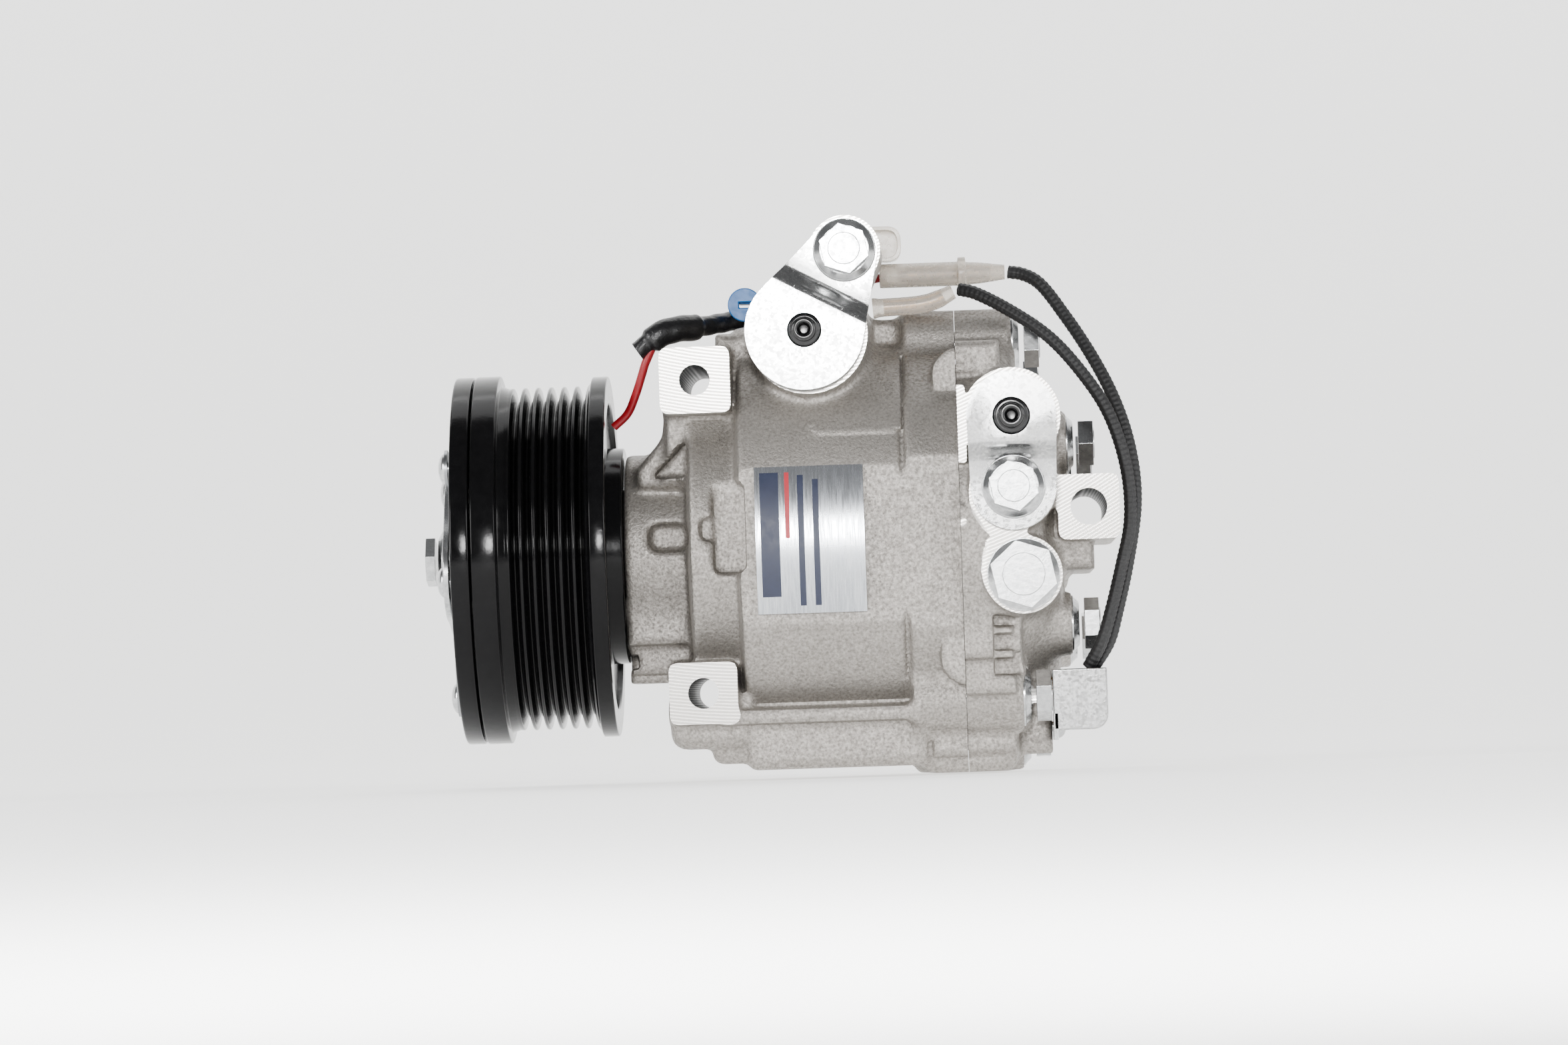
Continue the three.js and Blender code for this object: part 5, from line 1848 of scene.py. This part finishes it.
@dataclass
class Label:
    """A foil label round the shell's side, printed with a plain block, a red line and blank bars."""

    x: Pair = (56.2, 85.2)
    z: Pair = (-18.0, 21.2)
    radius: float = 57.1
    thickness: float = 0.2
    bars: tuple[tuple[float, float, float, float, Finish], ...] = (
        (57.6, 62.6, -13.5, 19.6, INK),
        (64.2, 65.4, 2.0, 19.6, RED_INK),
        (67.6, 69.2, -16.0, 18.8, INK),
        (71.6, 73.2, -16.0, 17.6, INK),
    )

    def _finish(self, x: float, z: float) -> int:
        """Finds the finish of a point.

        Args:
            x, z: The point.

        Returns:
            The finish's number on the label.
        """
        for x0, x1, z0, z1, finish in self.bars:
            if x0 < x < x1 and z0 < z < z1:
                return 1 if finish is INK else 2
        return 0

    def build(self) -> None:
        """Makes the label as a thin closed sheet that follows the shell."""
        xs = sorted({*self.x, *(bar[0] for bar in self.bars), *(bar[1] for bar in self.bars)})
        edges = (z for bar in self.bars for z in bar[2:4])
        zs = sorted({*np.linspace(*self.z, 25), *edges})
        points, faces, kinds = [], [], []
        for radius in (self.radius, self.radius + self.thickness):
            points += [(x, -math.sqrt(radius**2 - z * z), z) for x in xs for z in zs]
        across, up = len(xs), len(zs)
        layer = across * up
        for side in (0, 1):
            for i in range(across - 1):
                for k in range(up - 1):
                    corner = side * layer + i * up + k
                    faces.append((corner, corner + 1, corner + up + 1, corner + up))
                    middle = (xs[i] + xs[i + 1]) / 2, (zs[k] + zs[k + 1]) / 2
                    kinds.append(self._finish(*middle) if side else 0)
        rim = [i * up for i in range(across)] + [(across - 1) * up + k for k in range(1, up)]
        rim += [i * up + up - 1 for i in range(across - 2, -1, -1)] + list(range(up - 2, 0, -1))
        for a, b in zip(rim, [*rim[1:], rim[0]]):
            faces.append((a, b, layer + b, layer + a))
            kinds.append(0)
        label = mesh_object("foil_label", np.array(points), faces, [FOIL, INK, RED_INK])
        label.data.polygons.foreach_set("material_index", kinds)
        placed(smooth(outwards(label), 50), "housing", ["rating_label"])


# ---------------------------------------------------------------------- wiring


def even(radius: float) -> Section:
    """Returns a section of one radius."""
    return lambda run, angles: np.full_like(angles, radius)


@dataclass
class Wiring:
    """The coil's red lead in its shrink sleeve, the two connectors and the switch's two braided leads."""

    coil: tuple[Triple, ...] = (
        (17.3, -12, 34.9), (21.1, -13, 38.3), (23.6, -15, 43.3), (25.7, -17, 49), (27, -18, 52.4),
    )
    sleeve: tuple[Triple, ...] = (
        (24.6, -18, 55), (31.7, -18, 59.7), (42, -13, 61.5), (50, -5, 63), (60, 0, 65), (74, 2, 69),
        (87, -7, 72.6),
    )
    upper: tuple[Triple, ...] = (
        (126, -10, 73.6), (129.6, -10.6, 72.9), (134, -13, 70.3), (141.1, -17, 60.5), (148, -22, 48.8),
        (153, -26, 38), (156.3, -29, 27.3), (157.9, -31, 16.6), (157.8, -32, 7.1), (155.2, -32, -7.5),
        (152.3, -32, -19.1), (149.6, -32, -28), (145.4, -29.4, -34.6),
    )
    lower: tuple[Triple, ...] = (
        (112.6, -22, 68.6), (116.6, -24, 67.4), (126.4, -28, 61.8), (136.5, -32, 54.1), (144.7, -34.6, 44.3),
        (150.7, -36.4, 34.6), (154.4, -37, 24.1), (156.2, -37, 13.3), (156, -37, 3), (153.4, -37, -8),
        (150.4, -36.8, -19.1), (147.4, -36, -28.2), (143.8, -33.2, -34.6),
    )
    wire: float = 1.15
    lead: float = 1.75
    weave: float = 0.16
    strands: int = 8

    def coil_wire(self) -> None:
        """Makes the red lead. It runs on inside the shrink sleeve as far as its connector."""
        connector = (92.5, -9.2, 73.4)
        path = smooth_path([*self.coil, *self.sleeve[1:], connector], 0.7)
        wire = swept("red_lead", path, even(self.wire), 16, [RED])
        placed(wire, "housing", ["coil_lead"])

    def shrink_sleeve(self) -> None:
        """Makes the sleeve, thick and wrinkled over the lead's diode and thinner after it."""
        path = smooth_path(self.sleeve, 0.5)
        reach = length_of(smooth_path(self.sleeve[:3], 0.5))

        def section(run: np.ndarray, angles: np.ndarray) -> np.ndarray:
            """Swells over the diode, with shallow folds round it.

            Args:
                run: Distance along the sleeve.
                angles: Angle round it.

            Returns:
                The radius.
            """
            bump = np.clip(np.minimum(run - 3.5, reach - run) / 1.6, 0, 1)
            folds = 0.09 * np.sin(run * 1.1 + 2 * np.sin(angles)) + 0.07 * np.cos(3 * angles + run * 0.35)
            return 2.7 + 0.9 * bump * bump * (3 - 2 * bump) + folds

        sleeve = swept("shrink_sleeve", path, section, 32, [SHRINK])
        placed(sleeve, "housing", ["lead_sleeve"])

    def clip(self) -> None:
        """Makes the blue clip: a saddle under the sleeve and a round tab with a slot."""
        tab = prism("clip_tab", "Y", circle(53.9, 67.1, 4.6, 64), (-11, -8.4), [BLUE])
        machined(tab, [box("slot", (52.4, 55.8), (-13, -6), (66.3, 67.8), [BLUE])])
        saddle = prism("clip_saddle", "Y", rectangle(52, 56, 67.4, 69.4, 0.7), (-9, -2), [BLUE])
        clip = joined("clip_body", [bevelled(tab, 0.35, 3), bevelled(saddle, 0.3)])
        placed(clip, "housing", ["harness_clip"])

    def upper_connector(self) -> None:
        """Makes the upper connector: a clear sleeve with a collar, and the brass terminal seen inside it."""
        centre = (-10.0, 73.6)
        skin = [(90.9, 2.4), (90.9, 3.3), (112.2, 3.3), (112.2, 4.5), (114.4, 4.5), (114.4, 3.1), (118, 2.9)]
        skin += [(125, 2.0), (125, 1.8), (118, 2.3), (112, 2.5)]
        shell = turned("upper_connector_shell", rounded(skin, 0.4, 3), 64, centre, [VINYL])
        placed(smooth(shell, 50), "housing", ["connector_upper"])
        pin = [(96, 0), (96, 1.5), (99, 2.1), (108, 2.1), (109, 1.5), (113, 1.5), (114, 2.0), (121, 1.6)]
        pin += [(121, 0)]
        terminal = turned("upper_terminal", rounded(pin, 0.3, 3, closed=False), 32, centre, [BRASS])
        placed(smooth(terminal), "housing")

    def lower_connector(self) -> None:
        """Makes the lower connector, a slimmer clear sleeve that slopes up to its lead."""
        path = smooth_path([(88.9, -22, 64.2), (104.1, -22, 65.3), (110.8, -22, 68)], 0.5)
        run = length_of(path)

        def outer(along: np.ndarray, angles: np.ndarray) -> np.ndarray:
            """Flares a little at its open end and narrows on to the lead."""
            t = along / run
            return 2.45 + 0.35 * np.exp(-((t - 0.02) ** 2) / 0.002) - 0.5 * np.clip((t - 0.8) / 0.2, 0, 1)

        shell = swept("lower_connector_shell", path, outer, 48, [VINYL])
        placed(shell, "housing", ["connector_lower"])
        inside = path[round(len(path) * 0.12) : round(len(path) * 0.86)]
        placed(swept("lower_terminal", inside, even(1.5), 24, [BRASS]), "housing")

    def boot(self) -> None:
        """Makes the clear boot that stands up behind the suction port's bolt."""
        outline = rectangle(91.2 - 5.8, 91.2 + 5.8, 82.2 - 4.8, 82.2 + 4.8, 4)
        boot = prism("boot_body", "Y", outline, (-13, -6), [VINYL])
        machined(boot, [prism("hollow", "Y", rectangle(86.4, 96, 78.4, 86, 3.2), (-14, -7.2), [VINYL])])
        placed(bevelled(boot, 0.5, 3), "housing", ["harness_boot"])

    def switch_leads(self) -> None:
        """Makes the two leads in woven black sleeves."""

        def woven(run: np.ndarray, angles: np.ndarray) -> np.ndarray:
            """Crosses two sets of strands round the lead.

            Args:
                run: Distance along the lead.
                angles: Angle round it.

            Returns:
                The radius.
            """
            half = self.strands / 2
            lift = np.cos(half * angles + run * 2.2) * np.cos(half * angles - run * 2.2)
            return self.lead + self.weave * (lift - 0.3)

        for name, points in (("upper", self.upper), ("lower", self.lower)):
            path = smooth_path(points, 0.32)
            lead = swept(f"{name}_switch_lead", path, woven, 32, [BRAID])
            placed(lead, "housing", [f"switch_lead_{name}"])

    def build(self) -> None:
        """Makes the whole loom."""
        self.coil_wire()
        self.shrink_sleeve()
        self.clip()
        self.upper_connector()
        self.lower_connector()
        self.boot()
        self.switch_leads()


@dataclass
class SwitchGuard:
    """The thermal switch on the rear head and the bright steel guard screwed over it."""

    x: Pair = (133.9, 148.6)
    z: Pair = (-51.4, -35.0)
    front: float = -37.7
    back: float = -18.0
    sheet: float = 1.2
    corner: float = 4.0
    block: tuple[Pair, Pair, Pair] = ((135.5, 147.6), (-36, -20), (-46.5, -35.8))

    def switch(self) -> None:
        """Makes the switch: a moulded block on a brass stem in the head."""
        block = bevelled(box("block", *self.block, [PLASTIC]), 1.0, 3)
        stem = smooth(rod("stem", "X", SWITCH_STEM, (128, 136), 4.0, 48, [BRASS]))
        placed(joined("switch_body", [block, stem]), "housing", ["thermal_switch"])

    def guard(self) -> None:
        """Makes the guard: a plate with one round corner, turned back along two edges, and a tab."""
        x0, x1 = self.x
        z0, z1 = self.z
        r = self.corner
        shape = [(x0, z1), (x0, z0), *arc(x1 - r, z0 + r, r, -90, 0, 16), (x1, z1)]
        plate = prism("guard_plate", "Y", shape, (self.front, self.front + self.sheet), [ZINC])
        inner = r - self.sheet
        band = [(x0, z0), *arc(x1 - r, z0 + r, r, -90, 0, 16), (x1, z1)]
        band += [(x1 - self.sheet, z1), *arc(x1 - r, z0 + r, inner, 0, -90, 16), (x0, z0 + self.sheet)]
        wall = prism("guard_wall", "Y", band, (self.front + 0.3, -24), [ZINC])
        tab = box("guard_tab", (x0, x0 + self.sheet), (self.front, self.back), (-54, -46.9), [ZINC])
        machined(tab, [rod("hole", "X", GUARD_SCREW, (x0 - 3, x0 + 4), 1.8, 32, [ZINC])])
        pieces = [bevelled(plate, 0.4, 3), bevelled(wall, 0.3), bevelled(tab, 0.3)]
        placed(joined("guard_body", pieces), "housing", ["switch_cover"])

    def build(self) -> None:
        """Makes the switch, its guard and the guard's screw."""
        self.switch()
        self.guard()
        sizes = {"Head Radius": 3.2, "Height": 2.2, "Shank Radius": 1.4, "Length": 6.0}
        outside = self.x[0] + self.sheet
        place = (outside + 0.1, *GUARD_SCREW)
        screw = grown("guard_screw", [place], rivet_tree(BOLT), Facing.REARWARDS, sizes, 1)
        slot = box("slot", (outside + 1.2, 139), (-23.35, -22.65), (-53.4, -47.4), [BOLT])
        placed(smooth(machined(screw, [slot])), "housing", ["cover_screw"])


def dress_inside() -> None:
    """Gives the pieces inside the compressor their materials. Their shapes stay as the frame has them."""
    finishes = {
        STEEL: [
            *(f"pulley_bearing_{ring}" for ring in ("outer", "inner", "balls")),
            *(f"main_bearing_{ring}" for ring in ("outer", "inner", "balls")),
            *(f"anti_rotation_pin_{i}" for i in (1, 2, 3)),
            *("front_bearing", "bearing_snap_ring", "shaft", "drive_bush", "drive_bearing", "thrust_plate"),
        ],
        RUBBER: ["shaft_seal", "housing_o_ring"],
        COPPER: ["coil_winding"],
        SCROLL: ["orbiting_scroll", "fixed_scroll"],
        SPRING: ["reed_valve", "valve_retainer"],
    }
    for finish, names in finishes.items():
        for name in names:
            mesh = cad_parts[name].data
            mesh.materials.clear()
            mesh.materials.append(material_of(finish))


# ---------------------------------------------------------------------- studio


@dataclass
class Studio:
    """A plain pale floor that curves up into a backdrop, soft lights and the camera."""

    floor: float = -62.4
    target: Triple = (62.4, 0.0, 7.7)
    distance: float = 1900.0
    lens: float = 159.3
    azimuth: float = 1.5
    elevation: float = -1.5
    roll: float = 1.9
    near: float = -12000.0
    far: float = 1500.0
    high: float = 2600.0
    wide: float = 12000.0
    bend: float = 500.0
    aim: Triple = (62.4, 0.0, 5.0)
    lights: tuple[tuple[str, Triple, Pair, float], ...] = (
        ("front_box", (60, -1500, 235), (190, 200), 14),
        ("left_box", (-1200, -1000, 420), (500, 700), 19),
        ("right_box", (1300, -900, 380), (500, 700), 17),
        ("top_box", (60, 500, 1300), (1400, 600), 7),
    )
    air: float = 0.2

    def camera(self) -> None:
        """Makes the camera, low and square to the shaft, turned a little about its own line of sight."""
        a, e, r = (math.radians(v) for v in (self.azimuth, self.elevation, self.roll))
        back = Vector((math.sin(a) * math.cos(e), -math.cos(a) * math.cos(e), math.sin(e)))
        level = (-back).cross(Vector((0, 0, 1))).normalized()
        upright = level.cross(-back)
        right = level * math.cos(r) - upright * math.sin(r)
        up = level * math.sin(r) + upright * math.cos(r)
        data = bpy.data.cameras.new("camera")
        data.lens = self.lens
        data.sensor_width = 36
        made = bpy.data.objects.new("camera", data)
        bpy.context.scene.collection.objects.link(made)
        place = (Vector(self.target) + back * self.distance) * MM
        made.matrix_world = Matrix.Translation(place) @ Matrix((right, up, back)).transposed().to_4x4()
        bpy.context.scene.camera = made

    def backdrop(self) -> None:
        """Makes the floor and backdrop in one sweep."""
        foot, bend = self.far - self.bend, self.bend
        line = [(self.near, self.floor), (foot, self.floor)]
        for turn in np.linspace(0.1, 1.5, 15):
            line.append((foot + bend * math.sin(turn), self.floor + bend * (1 - math.cos(turn))))
        line += [(self.far, self.floor + bend), (self.far, self.high)]
        points = [(x, y, z) for y, z in line for x in (-self.wide, self.wide)]
        faces = [(2 * i, 2 * i + 1, 2 * i + 3, 2 * i + 2) for i in range(len(line) - 1)]
        made = mesh_object("backdrop", np.array(points), faces, [PAPER])
        for face in made.data.polygons:
            face.use_smooth = True

    def light(self, name: str, place: Triple, size: Pair, watts: float) -> None:
        """Makes one soft rectangular light that looks at the compressor.

        Args:
            name: Its name.
            place: Where it stands.
            size: Its width and height.
            watts: Its power.
        """
        data = bpy.data.lights.new(name, "AREA")
        data.shape = "RECTANGLE"
        data.size, data.size_y = size[0] * MM, size[1] * MM
        data.energy = watts
        made = bpy.data.objects.new(name, data)
        bpy.context.scene.collection.objects.link(made)
        made.location = Vector(place) * MM
        made.rotation_euler = (Vector(self.aim) - Vector(place)).to_track_quat("-Z", "Y").to_euler()

    def build(self) -> None:
        """Sets the whole studio up."""
        self.camera()
        self.backdrop()
        for light in self.lights:
            self.light(*light)
        world = bpy.data.worlds.new("studio_air")
        bpy.context.scene.world = world
        world.use_nodes = True
        background = world.node_tree.nodes["Background"]
        background.inputs["Color"].default_value = linear("#F4F5F7")
        background.inputs["Strength"].default_value = self.air


def main() -> None:
    """Builds the studio and every sub-assembly in order."""
    logging.basicConfig(level=logging.INFO, format="%(message)s")
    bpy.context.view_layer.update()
    Studio().build()
    FrontCasting().build()
    RearCasting().build()
    for port in (SUCTION, DISCHARGE):
        PortCover(port).build()
    Fasteners().build()
    Clutch().build()
    Label().build()
    Wiring().build()
    SwitchGuard().build()
    dress_inside()


if __name__ == "__main__":
    main()
